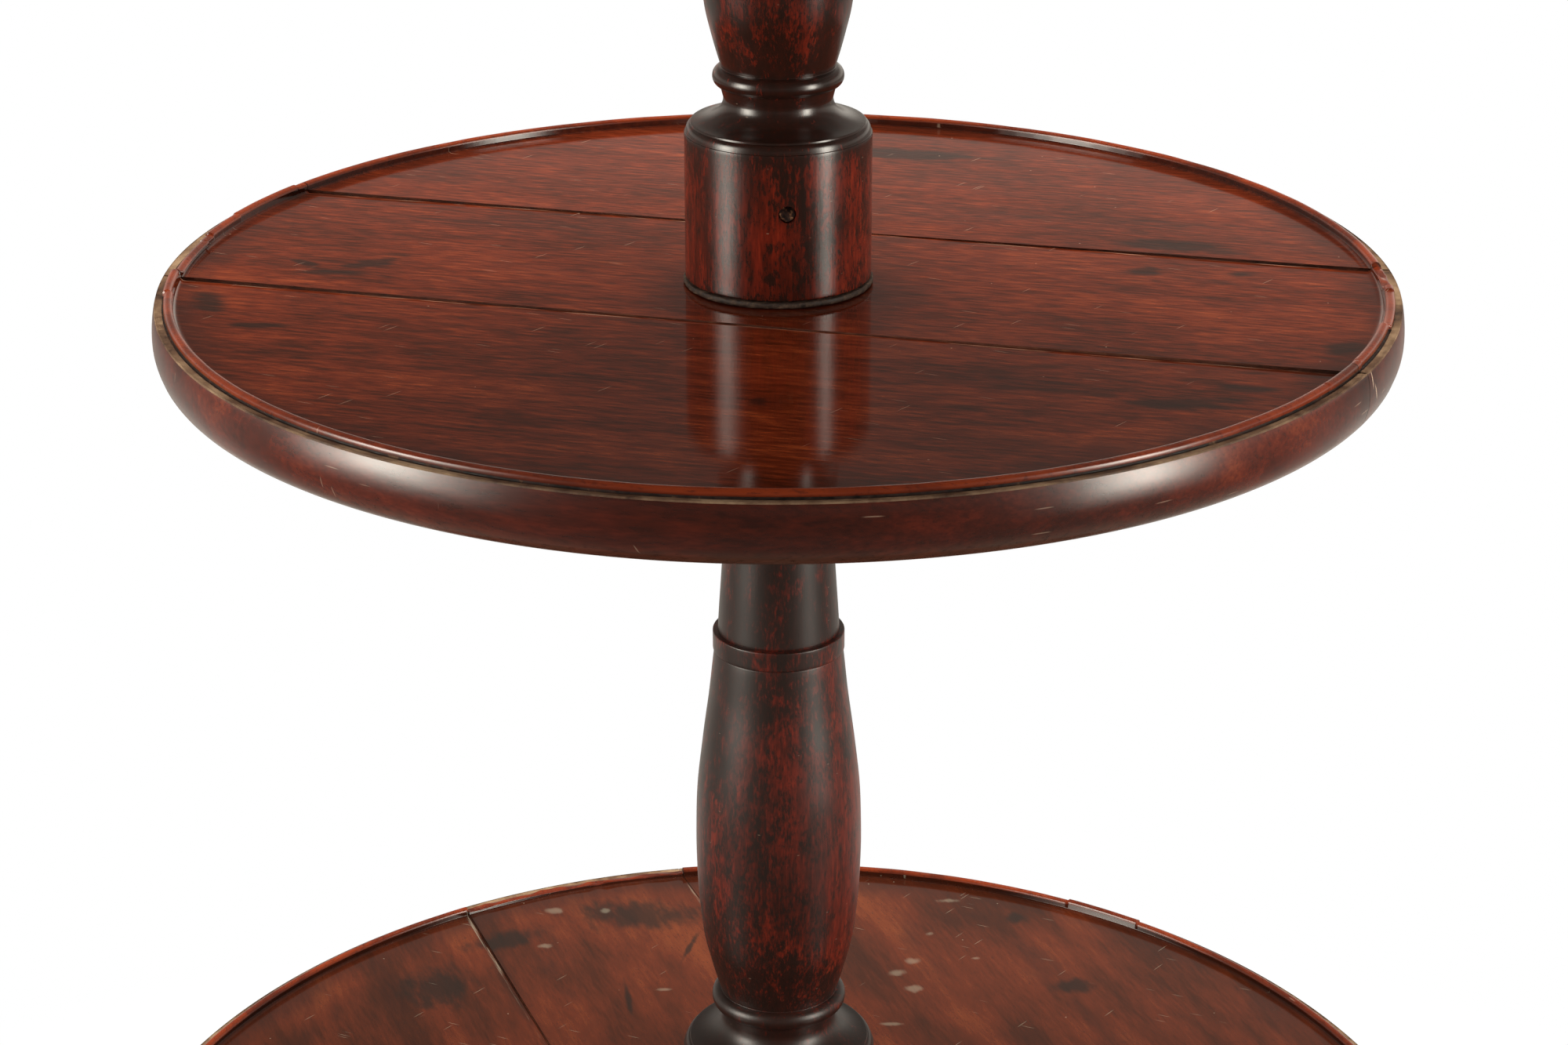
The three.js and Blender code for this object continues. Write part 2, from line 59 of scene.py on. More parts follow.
# Section of a tier, the same on all three. Heights are from the flat of the tier.
RIM = Sizes(
    thick=21.2, edge_thick=24.2, relief=16, relief_run=12, cove_width=1.3, cove_rise=0.8,
    bead_width=3.8, bead_height=4.5, bead_round=1.7, groove_width=3.6, groove_floor=1.1,
    groove_dip=0.15, nose_lip=1.4, nose_out=1.7, nose_fall=10, nose_under=9.2, nose_power=0.8,
    nose_steps=14, worn_edge=0.35,
)
GROOVE_FOOT = 0.2  # share of the groove's width that is rounded beside the bead
SHADOW_RISE = 1.9  # how far the painted shadow of a bead climbs up its outside
SHADOW_LAP, RAW_RISE = 0.15, 0.2  # how far the painted shadow laps over a bead, and raw wood reaches up the underside
DUST_LIP, DUST_DROP = 0.45, -0.2  # how far dust reaches out over the nosing, and down it
SEAM_EDGE = 1.3  # from a joint to its pale edge
BEAD_WEAR, NOSE_WEAR, WEAR_SCALE = 0.3, 0.25, 0.06
SEAT = 0.3  # play between two pieces that touch
TURNED_EASE = 0.7  # radius of the turned pillar's corners
BLOCK_EASE = 0.8
TURNED_WEAR = (0.16, 16)  # depth and size of the dents in it
LEG_WEAR = (0.2, 18)
WASHER_WEAR = (0.35, 2.5)
TIER_ANGLES = 360
SHARP = math.radians(38)

# A block has a bore right through it, or a blind socket with a depth.
BEARING_BLOCK = Sizes(radius=98, thick=18, round=6, screw_inset=14, first_screw=0, bore=15.5, depth=None)
UPPER_BLOCK = Sizes(radius=98, thick=18, round=6, screw_inset=14, first_screw=0, bore=14, depth=None)
TOP_BLOCK = Sizes(radius=76, thick=24, round=8, screw_inset=16, first_screw=45, bore=12.5, depth=17)
# Breaks of a bead: (from, to) in degrees round the tier, how far it is lowered there and moved out.
TIERS = [
    Sizes(
        name="lower_tier", radius=293, turn=-69.4, joints=(-64, 54), bore=15.5, block=BEARING_BLOCK,
        boards=("front_board", "centre_board", "back_board"),
        breaks=[(100.1, 123.2, 3.1, 0), (51.5, 59.4, -0.5, 0.6), (-12, -7, 1.2, -0.4), (196, 214, 0.8, 0)],
    ),
    Sizes(
        name="middle_tier", radius=244, turn=-14.3, joints=(-58.9, 72.2), bore=14, block=UPPER_BLOCK,
        boards=("front_board", "centre_board", "back_board"),
        breaks=[
            (150, 160.8, -0.4, 0.3), (167.6, 169.4, 0.9, -0.3), (169.4, 179.3, 0.8, -0.9),
            (179.7, 186, -0.3, 0.6), (-4.2, 2.6, 2.6, 0.4), (-5.4, -4.2, -0.2, 0.9),
            (-15.8, -5.4, 0.6, 0.8), (-26.7, -15.8, -0.1, -0.2), (-34, -27.1, -0.3, 0.3),
        ],
    ),
    Sizes(
        name="top_tier", radius=196, turn=-38, joints=(-34,), bore=0, block=TOP_BLOCK,
        boards=("front_board", "back_board"),
        breaks=[(62, 71, 0.9, -0.3), (236, 243, 1.4, 0)],
    ),
]

# Pillar sections, as they were turned. The sizes that add up to their height stand in order, foot first.
RISES = ("_rise", "_height")
MIDDLE_SECTION = dict(
    drum_radius=42.2, drum_height=64.7, ovolo_out=2.7, ovolo_rise=3.9, fillet_rise=1.0,
    hollow_radius=24.6, hollow_rise=10.4, throat_rise=5.4, throat_flare=1.2, bead_radius=29.5,
    bead_rise=8.3, baluster_rise=163.4, belly_radius=35.9, ring_radius=28.1, ring_rise=8.5,
    neck_foot=25.9, neck_top=20.6, neck_rise=82.7, collar_cove=9.0, cove_rise=22,
    collar_radius=36, collar_rise=9.6,
)
UPPER_HEIGHT_SHARE = 0.927
UPPER_RADIUS_SHARE = 0.9
BALUSTER_SHARES = [
    (0, 0.713), (0.045, 0.775), (0.096, 0.838), (0.158, 0.906), (0.24, 0.953), (0.34, 0.986),
    (0.46, 1), (0.6, 0.98), (0.74, 0.912), (0.87, 0.832), (1, 0.768),
]
BASE_SECTION = Sizes(
    block_radius=41, block_rise=106, step_in=3.2, step_rise=4.2, hollow_radius=27.5, hollow_rise=10,
    bead_radius=32.5, bead_rise=8.6, vase_rise=66, belly_radius=38, ring_radius=30.5, ring_inner=27.4,
    ring_rise=7, collar_cove=7.5, cove_radius=26, cove_rise=15, collar_radius=41, collar_rise=13.9,
)
VASE_SHARES = [
    (0, 0.724), (0.12, 0.87), (0.26, 0.965), (0.4, 1), (0.56, 0.96), (0.72, 0.86), (0.87, 0.765),
    (1, 0.72),
]
LOWER_SPIGOT, UPPER_SPIGOT, TOP_SPIGOT = 15, 13.5, 12
SOCKET_DEPTH = 51
PILLAR_ANGLES = 112
PEG = Sizes(radius=3.2, bite=9, sunk=0.7, height_share=0.6, turn=-84.4, slants=(0.32, 0.18), ragged=0.25)
WASHER = Sizes(play=1.5, edge=0.8, angles=160)

# Legs: shares of the foot's reach, and of the leg's rise or the pillar's height
LEG_TURNS = {"front_leg": -90, "right_leg": 30, "left_leg": 150}
LEG = Sizes(
    rise=196, reach=221, width=42, flatness=5, roundness=2.3, rings=80, points=64, cell=1.7, smoothing=7,
)
TOP_RAIL = [
    (0, 1), (0.13, 0.99), (0.27, 0.93), (0.4, 0.8), (0.52, 0.63), (0.64, 0.44), (0.76, 0.285),
    (0.89, 0.18), (1.04, 0.125),
]
UNDER_RAIL = [
    (0, 1), (0.17, 1), (0.28, 0.975), (0.38, 0.86), (0.48, 0.66), (0.59, 0.43), (0.71, 0.25),
    (0.84, 0.14), (0.96, 0.11),
]
LEG_WIDTHS = [1, 1, 0.96, 0.88, 0.8, 0.73, 0.67, 0.63, 0.66]
FOOT = Sizes(
    radius=31, edge_rise=6, dome_rise=12, dome_radius=17, cushion_radius=23, cushion_rise=7, ease=1.2,
)
TAIL = Sizes(neck_width=15, back_width=23, depth=16, headroom=8, footroom=2)
PLATE = Sizes(thick=2.6, hub_radius=23, arm_width=19, arm_reach=70, screw_inset=12)
PLATE_SCREW = Sizes(head_radius=4.6, head_depth=2, shank_radius=2.4, bite=16)
BLOCK_SCREW = Sizes(head_radius=4.4, head_depth=2.6, shank_radius=2.2, bite=12)
SLOT = Sizes(width=0.9, depth=1.1, first_turn=35, next_turn=50)
PLATE_SLOT = Sizes(first_turn=20, next_turn=70)
OVERRUN = 5  # how far a cutting tool goes past what it cuts

record = frame["record"]
BODY_OF = {node: body for body, nodes in record["behaviour"]["bodies"].items() for node in nodes}
PILLAR_FLAT = math.sqrt(BASE_SECTION.block_radius**2 - (LEG.width / 2) ** 2)
SHOULDER = PILLAR_FLAT + SEAT


def height_of(node, corner):
    """Height in millimetres of a node's lowest (0) or highest (1) corner."""
    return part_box(node)[corner].z / MM


BASE_BOTTOM = height_of("base_pillar", 0)
PLATE_BOTTOM = BASE_BOTTOM - SEAT - PLATE.thick
PLATE_SCREW_LENGTH = PLATE.thick + PLATE_SCREW.bite
PLATE_SCREW_REACH = PLATE.arm_reach - PLATE.screw_inset


# Outlines are lists of (radius, height) points


def arc(centre, reach, rise, start, stop, steps=14):
    """Points on an elliptical arc, with both ends. Angles are in degrees from the outward radius."""
    angles = [math.radians(start + (stop - start) * i / steps) for i in range(steps + 1)]
    return [(centre[0] + reach * math.cos(a), centre[1] + rise * math.sin(a)) for a in angles]


def bead(bottom, rise, inner, outer):
    """A half-round bead, from the top down."""
    return arc((inner, bottom + rise / 2), outer - inner, rise / 2, 86, -86, 18)


def spline(points, share):
    """A point on the smooth curve through some points, at a share of their count."""
    last = len(points) - 1
    i = min(int(share * last), last - 1)
    w = share * last - i
    before, here, there, after = (points[max(0, min(last, i + k))] for k in (-1, 0, 1, 2))

    def blend(a, b, c, d):
        slope, next_slope = (c - a) / 2, (d - b) / 2
        return (
            (2 * b - 2 * c + slope + next_slope) * w**3
            + (-3 * b + 3 * c - 2 * slope - next_slope) * w**2 + slope * w + b
        )

    return tuple(blend(*values) for values in zip(before, here, there, after))


def swell(shares, bottom, rise, belly, steps=46):
    """A swelling curve from the top down."""
    curve = [spline(shares, i / steps) for i in range(steps + 1)]
    return [(belly * out, bottom + rise * up) for up, out in reversed(curve)]


def rounded(outline, radius, sharp=24, steps=4):
    """Eases the corners of an outline that turn more than some degrees."""
    points = [Vector(point) for point in outline]
    eased = [tuple(points[0])]
    for a, b, c in zip(points, points[1:], points[2:]):
        into, out = b - a, c - b
        turn = into.angle(out, 0)
        if turn < math.radians(sharp):
            eased.append(tuple(b))
            continue
        reach = min(radius * math.tan(turn / 2), into.length / 2.2, out.length / 2.2)
        start, stop = b - into.normalized() * reach, b + out.normalized() * reach
        for i in range(steps + 1):
            w = i / steps
            eased.append(tuple(start * (1 - w) ** 2 + b * 2 * w * (1 - w) + stop * w**2))
    return [*eased, tuple(points[-1])]


def supported(outline, step=5.0, margin=1.2):
    """Adds points on long straight runs, so that the shading of each run stays even."""
    points = [outline[0]]
    for (r0, z0), (r1, z1) in zip(outline, outline[1:]):
        length = math.hypot(r1 - r0, z1 - z0)
        if length > 3 * margin:
            count = max(1, math.ceil((length - 2 * margin) / step))
            places = [margin + (length - 2 * margin) * i / count for i in range(count + 1)]
            points += [(r0 + (r1 - r0) * p / length, z0 + (z1 - z0) * p / length) for p in places]
        points.append((r1, z1))
    return points


def collar_and_spigot(s, cove_foot, neck_radius, spigot, top):
    """A spigot on a rounded collar with a cove under it, from the top down."""
    cove_top = cove_foot + s.cove_rise
    cove_end = neck_radius + s.collar_cove
    half = s.collar_rise / 2
    return [
        (0, top), (spigot, top), (spigot, cove_top + s.collar_rise),
        *arc((cove_end, cove_top + half), s.collar_radius - cove_end, half, 90, -90),
        *arc((cove_end, cove_foot), s.collar_cove, s.cove_rise, 90, 180),
    ]


def section_lines(s):
    """Heights of the lines between the parts of a section, from its foot to its collar's top."""
    return [*accumulate([size for name, size in vars(s).items() if name.endswith(RISES)], initial=0)]


def section_outline(s, spigot, top, socket):
    """A section that stands on a tier, with a socket of a radius in its foot."""
    _, drum, fillet, hollow, throat, bead_foot, baluster, ring, neck, cove, *_ = section_lines(s)
    edge = s.drum_radius - s.ovolo_out
    nick = 0.5  # depth of the turner's cuts between two forms
    outline = [
        *collar_and_spigot(s, cove, s.neck_top, spigot, top),
        (s.neck_foot, neck + nick), (s.neck_foot - nick, neck), (s.ring_radius, neck),
        (s.ring_radius, ring), (s.belly_radius * BALUSTER_SHARES[-1][1] - nick, ring),
        *swell(BALUSTER_SHARES, baluster, s.baluster_rise - nick, s.belly_radius),
        *bead(bead_foot, s.bead_rise, s.hollow_radius + s.throat_flare, s.bead_radius),
        *arc((edge, throat), edge - s.hollow_radius, throat - hollow, 180, 270),
        *arc((edge, drum), s.ovolo_out - nick, fillet - drum, 90, 0),
        (s.drum_radius, drum), (s.drum_radius, 0), (socket, 0), (socket, SOCKET_DEPTH),
        (0, SOCKET_DEPTH),
    ]
    return supported(rounded(outline, TURNED_EASE))


def base_outline(s, spigot, top):
    """The lowest section, whose block the legs are let into."""
    _, block, hollow, bead_foot, vase, ring, cove, *_ = section_lines(s)
    edge = s.block_radius - s.step_in
    outline = [
        *collar_and_spigot(s, cove, s.cove_radius, spigot, top),
        *bead(ring, s.ring_rise, s.ring_inner, s.ring_radius),
        *swell(VASE_SHARES, vase, s.vase_rise, s.belly_radius),
        *bead(bead_foot, s.bead_rise, s.hollow_radius, s.bead_radius),
        *arc((edge, bead_foot), edge - s.hollow_radius, s.hollow_rise, 180, 270),
        *arc((edge, block), s.step_in, hollow - block, 90, 0),
        (s.block_radius, 0), (0, 0),
    ]
    return supported(rounded(outline, TURNED_EASE))


def tier_outline(tier):
    """A tier with its flat at height zero, from the middle of the flat outward and back below.
    It is thinner inside its rim, where its underside is cut back."""
    flat_end = tier.radius - RIM.cove_width
    bead_end = tier.radius + RIM.bead_width
    nose_start = bead_end + RIM.groove_width
    under_end = nose_start + RIM.nose_out - RIM.nose_under
    bead_centre = (tier.radius + RIM.bead_width / 2, RIM.bead_height - RIM.bead_round)
    rise = RIM.nose_fall + RIM.nose_lip
    steps = [1 - i / RIM.nose_steps for i in range(RIM.nose_steps + 1)]
    nosing = [
        (nose_start + RIM.nose_out * (1 - s**2) ** RIM.nose_power, rise * s - RIM.nose_fall) for s in steps
    ]
    outline = [
        (flat_end, 0), (flat_end + RIM.cove_width / 2, RIM.cove_rise / 3), (tier.radius, RIM.cove_rise),
        *arc(bead_centre, RIM.bead_width / 2, RIM.bead_round, 180, 0, 12),
        (bead_end, SHADOW_RISE), (bead_end, RIM.groove_floor),
        (bead_end + RIM.groove_width * GROOVE_FOOT, RIM.groove_floor - RIM.groove_dip),
        (nose_start, RIM.groove_floor),
        *nosing,
        *arc((under_end, -RIM.nose_fall), RIM.nose_under, RIM.edge_thick - RIM.nose_fall, 0, -90)[1:],
        (tier.radius - RIM.relief, -RIM.edge_thick),
        (tier.radius - RIM.relief - RIM.relief_run, -RIM.thick),
    ]
    eased = rounded([(tier.bore, 0), *outline, (tier.bore, -RIM.thick)], RIM.worn_edge)
    return supported(eased, step=40)


def block_outline(block):
    """A block that is rounded below, with its underside at height zero, round a bore or a socket."""
    edge = arc((block.radius - block.round, block.round), block.round, block.round, 0, -90)
    outline = [(block.radius, block.thick), *edge, (block.bore, 0)]
    if block.depth is None:
        outline = [(block.bore, block.thick), *outline]
    else:
        outline = [(0, block.thick), *outline, (block.bore, block.depth), (0, block.depth)]
    return supported(rounded(outline, BLOCK_EASE), step=20)


def foot_outline():
    """A pad foot: a dome on a rounded edge, with a cushion under it."""
    edge_top = FOOT.cushion_rise + FOOT.edge_rise
    outline = [
        (0, edge_top + FOOT.dome_rise),
        *arc((FOOT.dome_radius, edge_top), FOOT.radius - FOOT.dome_radius, FOOT.dome_rise, 90, 0),
        *arc((FOOT.cushion_radius, edge_top), FOOT.radius - FOOT.cushion_radius, FOOT.edge_rise, 0, -90),
        (FOOT.cushion_radius, 0), (0, 0),
    ]
    return rounded(outline, FOOT.ease)


def screw_outline(screw, length):
    return [
        (0, length), (screw.shank_radius, length), (screw.shank_radius, screw.head_depth),
        (screw.head_radius, 0.3), (screw.head_radius, 0.1), (screw.head_radius - 0.2, 0), (0, 0),
    ]


# Meshes


def placed(name, data):
    thing = bpy.data.objects.new(name, data)
    bpy.context.scene.collection.objects.link(thing)
    return thing


def new_piece(name, points, faces, materials=(), face_materials=None, smooth=True):
    """A piece from points in millimetres, with its normals outward."""
    mesh = bpy.data.meshes.new(name)
    mesh.from_pydata([tuple(value * MM for value in point) for point in points], [], faces)
    for material in materials:
        mesh.materials.append(material)
    if face_materials:
        mesh.polygons.foreach_set("material_index", face_materials)
    shape = bmesh.new()
    shape.from_mesh(mesh)
    bmesh.ops.recalc_face_normals(shape, faces=shape.faces)
    shape.to_mesh(mesh)
    shape.free()
    piece = placed(name, mesh)
    return smoothed(piece) if smooth else piece


def smoothed(piece):
    piece.data.polygons.foreach_set("use_smooth", [True] * len(piece.data.polygons))
    piece.data.set_sharp_from_angle(angle=SHARP)
    return piece


def polar(radius, degrees):
    """(x, y) at a radius and a turn about Z."""
    a = math.radians(degrees)
    return radius * math.cos(a), radius * math.sin(a)


def lathe(name, outline, angles, materials=(), zone=None, form=None, lift=0):
    """Revolves an outline round Z. It ends on the axis at both ends, or closes on itself.
    zone gives a segment's material from its middle, and form moves a point at an angle."""
    if isinstance(angles, int):
        angles = [360 * i / angles for i in range(angles)]
    points, columns, poles = [], [], {}
    for turn in angles:
        column = []
        for i, (radius, height) in enumerate(outline):
            if i in poles:
                column.append(poles[i])
                continue
            if radius == 0:
                poles[i] = len(points)
            elif form:
                radius, height = form(turn, radius, height)
            column.append(len(points))
            points.append((*polar(radius, turn), height + lift))
        columns.append(column)

    count = len(outline)
    spans = [(i, (i + 1) % count) for i in range(count if outline[0][0] > 0 else count - 1)]
    middles = [[(a + b) / 2 for a, b in zip(outline[i], outline[j])] for i, j in spans]
    zones = [zone(*middle) if zone else 0 for middle in middles]
    faces, kinds = [], []
    for here, there in zip(columns, [*columns[1:], columns[0]]):
        for (i, j), kind in zip(spans, zones):
            corners = dict.fromkeys((here[i], there[i], there[j], here[j]))
            if len(corners) > 2:
                faces.append(list(corners))
                kinds.append(kind)
    return new_piece(name, points, faces, materials, kinds)


def prism(outline, bottom, top):
    """An upright prism on a convex outline."""
    count = len(outline)
    points = [(x, y, z) for z in (bottom, top) for x, y in outline]
    ends = [tuple(range(count)), tuple(range(count, 2 * count))]
    sides = [(i, (i + 1) % count, (i + 1) % count + count, i + count) for i in range(count)]
    return new_piece("tool", points, [*ends, *sides], smooth=False)


def box(low, high):
    """A box between two corners, for cutting."""
    (left, front, bottom), (right, back, top) = low, high
    return prism([(left, front), (right, front), (right, back), (left, back)], bottom, top)


def rod(radius, length):
    """A cylinder on the Z axis, for cutting."""
    return lathe("tool", [(0, length), (radius, length), (radius, 0), (0, 0)], 32)


def turned_to(piece, degrees, axis="Z"):
    piece.data.transform(Matrix.Rotation(math.radians(degrees), 4, axis))
    return piece


def moved(piece, x=0, y=0, z=0):
    piece.data.transform(Matrix.Translation((x * MM, y * MM, z * MM)))
    return piece


def applied(piece):
    """Makes a piece's modifiers part of its mesh."""
    bpy.context.view_layer.update()
    depsgraph = bpy.context.evaluated_depsgraph_get()
    mesh = bpy.data.meshes.new_from_object(piece.evaluated_get(depsgraph))
    piece.modifiers.clear()
    old, piece.data = piece.data, mesh
    bpy.data.meshes.remove(old)
    return piece


def combined(piece, tools, operation):
    """Joins tools to a piece or cuts them out of it, and removes the tools."""
    for tool in tools:
        modifier = piece.modifiers.new(operation, "BOOLEAN")
        modifier.operation = operation
        modifier.solver = "EXACT"
        modifier.object = tool
    applied(piece)
    for tool in tools:
        bpy.data.objects.remove(tool)
    return smoothed(piece)


def cut(piece, *tools):
    return combined(piece, tools, "DIFFERENCE")


def fused(piece, *tools):
    return combined(piece, tools, "UNION")


def roughened(piece, amount, grain, seed=0):
    """Wears a surface inward, unevenly, by up to an amount. Grain is the size of the dents."""
    shift = Vector((seed, seed * 1.7, seed * 0.6))
    normals = [vertex.normal.copy() for vertex in piece.data.vertices]
    for vertex, normal in zip(piece.data.vertices, normals):
        depth = amount * MM * (0.5 + 0.5 * noise.noise(vertex.co / (grain * MM) + shift))
        vertex.co -= normal * max(0, depth)
    return piece


def coated(piece, material):
    """Gives the whole of a piece one material."""
    piece.data.materials.clear()
    piece.data.materials.append(material)
    piece.data.polygons.foreach_set("material_index", [0] * len(piece.data.polygons))
    return piece


def stand_for(piece, node):
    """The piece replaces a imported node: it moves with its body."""
    piece.name = f"{node}_fine"
    piece.data.name = piece.name
    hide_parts(node)
    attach(piece, BODY_OF[node])
    return piece


# Procedural finishes


def srgb(code):
    """A colour written as #rrggbb, as linear values."""
    parts = [int(code[i : i + 2], 16) / 255 for i in (1, 3, 5)]
    return (*(p / 12.92 if p <= 0.04045 else ((p + 0.055) / 1.055) ** 2.4 for p in parts), 1)


class Nodes:
    """Writes shader nodes. Most methods give back the socket that carries their value."""

    def __init__(self, tree):
        self.tree = tree

    def feed(self, socket, value):
        if isinstance(value, bpy.types.NodeSocket):
            self.tree.links.new(value, socket)
        else:
            socket.default_value = value

    def node(self, kind, inputs, **fields):
        node = self.tree.nodes.new(kind)
        for field, value in fields.items():
            setattr(node, field, value)
        for socket, value in inputs.items():
            self.feed(node.inputs[socket], value)
        return node

    def add(self, kind, inputs, output=0, **fields):
        return self.node(kind, inputs, **fields).outputs[output]

    def math(self, operation, *values, clamp=False):
        return self.add("ShaderNodeMath", dict(enumerate(values)), operation=operation, use_clamp=clamp)

    def vector(self, operation, *values, output=0):
        return self.add("ShaderNodeVectorMath", dict(enumerate(values)), output, operation=operation)

    def times(self, value, factor, plus=None, clamp=False):
        """A value times a factor, with another value added to it."""
        if plus is None:
            return self.math("MULTIPLY", value, factor)
        return self.math("MULTIPLY_ADD", value, factor, plus, clamp=clamp)

    def most(self, *values):
        whole = values[0]
        for value in values[1:]:
            whole = self.math("MAXIMUM", whole, value)
        return whole

    def split(self, vector):
        return self.node("ShaderNodeSeparateXYZ", {0: vector}).outputs

    def span(self, value, low, high, to_low=0, to_high=1):
        """Maps a value from one range to another, smoothly and without going past the ends."""
        inputs = {0: value, 1: low, 2: high, 3: to_low, 4: to_high}
        return self.add("ShaderNodeMapRange", inputs, interpolation_type="SMOOTHSTEP")

    def ramp(self, value, stops):
        """Runs through stops of (place from 0 to 1, #rrggbb or grey level)."""
        node = self.node("ShaderNodeValToRGB", {0: value})
        elements = node.color_ramp.elements
        while len(elements) < len(stops):
            elements.new(1)
        for element, (place, tone) in zip(elements, stops):
            element.position = place
            element.color = srgb(tone) if isinstance(tone, str) else (tone, tone, tone, 1)
        return node.outputs[0]

    def mix(self, share, first, second, blend="MIX"):
        inputs = {0: share, 6: first, 7: second}
        return self.add("ShaderNodeMix", inputs, 2, data_type="RGBA", blend_type=blend)


class Finish(Nodes):
    """The nodes of one material. Places are in metres, and sizes given to a method in millimetres."""

    def __init__(self, name, **surface):
        self.material = bpy.data.materials.new(name)
        self.material.use_nodes = True
        super().__init__(self.material.node_tree)
        self.shader = self.tree.nodes["Principled BSDF"]
        for socket, value in surface.items():
            self.shader.inputs[socket.replace("_", " ")].default_value = value
        self.place = self.grain = self.add("ShaderNodeTexCoord", {}, "Object")

    def turned(self, place, degrees, axis=2):
        rotation = [0, 0, 0]
        rotation[axis] = math.radians(degrees)
        return self.add("ShaderNodeMapping", {"Vector": place, "Rotation": rotation})

    def noise(self, scales, detail, rough, bend=0, place=None):
        """Noise with one scale or one along each axis, in cells a metre. It follows the grain."""
        if not isinstance(scales, tuple):
            scales = (scales, scales, scales)
        stretched = self.vector("MULTIPLY", self.grain if place is None else place, scales)
        inputs = {"Vector": stretched, "Scale": 1, "Detail": detail, "Roughness": rough, "Distortion": bend}
        return self.add("ShaderNodeTexNoise", inputs, "Fac")

    def specks(self, place, scales, share, size):
        """Dots or strokes thinly scattered: 1 on a dot."""
        stretched = self.vector("MULTIPLY", place, scales)
        cells = self.node("ShaderNodeTexVoronoi", {"Scale": 1, "Vector": stretched})
        draw = self.vector("DOT_PRODUCT", cells.outputs["Color"], (1, 0, 0), output="Value")
        chosen = self.math("LESS_THAN", draw, share)
        return self.times(self.span(cells.outputs["Distance"], size, size * 0.5), chosen)

    def reach(self, centre, size, tilt=(0, 0, 0)):
        """How far out a place is in an ellipsoid: 0 at its centre and 1 on its surface."""
        inputs = {
            "Vector": self.place,
            "Location": tuple(value * MM for value in centre),
            "Rotation": tuple(math.radians(value) for value in tilt),
            "Scale": tuple(value * MM for value in size),
        }
        local = self.add("ShaderNodeMapping", inputs, vector_type="TEXTURE")
        return self.vector("LENGTH", local, output="Value")

    def blot(self, x, y, length, width, turn, ragged, soft):
        """A soft ragged spot on a tier: 1 inside and 0 outside."""
        reach = self.reach((x, y, 0), (length, width, 1e6), (0, 0, turn))
        return self.span(self.math("ADD", reach, ragged), 1, soft)

    def upright_blot(self, x, z, width, rise):
        """A soft spot on the front of the pillar, placed from its axis and over the floor."""
        return self.span(self.reach((x, -100, z), (width, 100, rise)), 1.1, 0.4)

    def scratch(self, centre, turn, lean):
        """A fine line on a rim: 1 on the line."""
        return self.span(self.reach(centre, SCRATCH_SIZE, (0, lean, turn)), 1.2, 0.5)

    def line(self, value, centre, outer, inner):
        """1 where a value is near a centre, fading between two distances from it."""
        away = self.math("ABSOLUTE", self.math("SUBTRACT", value, centre * MM))
        return self.span(away, outer * MM, inner * MM)

    def bump(self, height, depth, under=None, strength=1.0):
        """Surface relief with a depth, on top of another relief."""
        inputs = {"Height": height, "Distance": depth * MM, "Strength": strength}
        if under is not None:
            inputs["Normal"] = under
        return self.add("ShaderNodeBump", inputs, "Normal")

    def finish(self, colour, roughness, relief, polish_relief=None):
        ends = {"Base Color": colour, "Roughness": roughness, "Normal": relief, "Coat Normal": polish_relief}
        for socket, value in ends.items():
            if value is not None:
                self.feed(self.shader.inputs[socket], value)
        return self.material


WOOD_TONES = [(0.22, "#230c06"), (0.4, "#3f1608"), (0.54, "#5b200e"), (0.68, "#743016"), (0.86, "#924724")]
RIM_TONES = [(0.25, "#240e0a"), (0.45, "#41170e"), (0.6, "#591f12"), (0.8, "#79351c")]
COLUMN_TONES = [
    (0.22, "#220d08"), (0.42, "#4a160c"), (0.58, "#6a1e10"), (0.76, "#822f19"), (0.9, "#964423"),
]
BEAD_TONE, PATINA, SMOKE, PALE = (srgb(code) for code in ("#782d10", "#1a110d", "#2e130d", "#b49a86"))
NO_BEND = 0
BOARD_SHIFT = (0.83, 0.41, 0.67)

# Layers of figure: bands, streaks, dashes and clouds, each with its cells a metre along the grain and
# across it, its detail, roughness and bend. Then how much each layer shows, by the place of the wood.
FIGURE_LAYERS = [
    (4, 40, 3, 0.55, 0.4), (26, 180, 3, 0.6, 0.3), (80, 560, 2, 0.6, NO_BEND), (11, 18, 2, 0.5, NO_BEND),
]
FIGURE = (0.4, 0.45, 0.6, 0.4)
TRAY_FIGURE = (0.32, 0.24, 0.64, 0.34)
RIM_FIGURE = (0.4, 0.3, 0.35, 0.5)

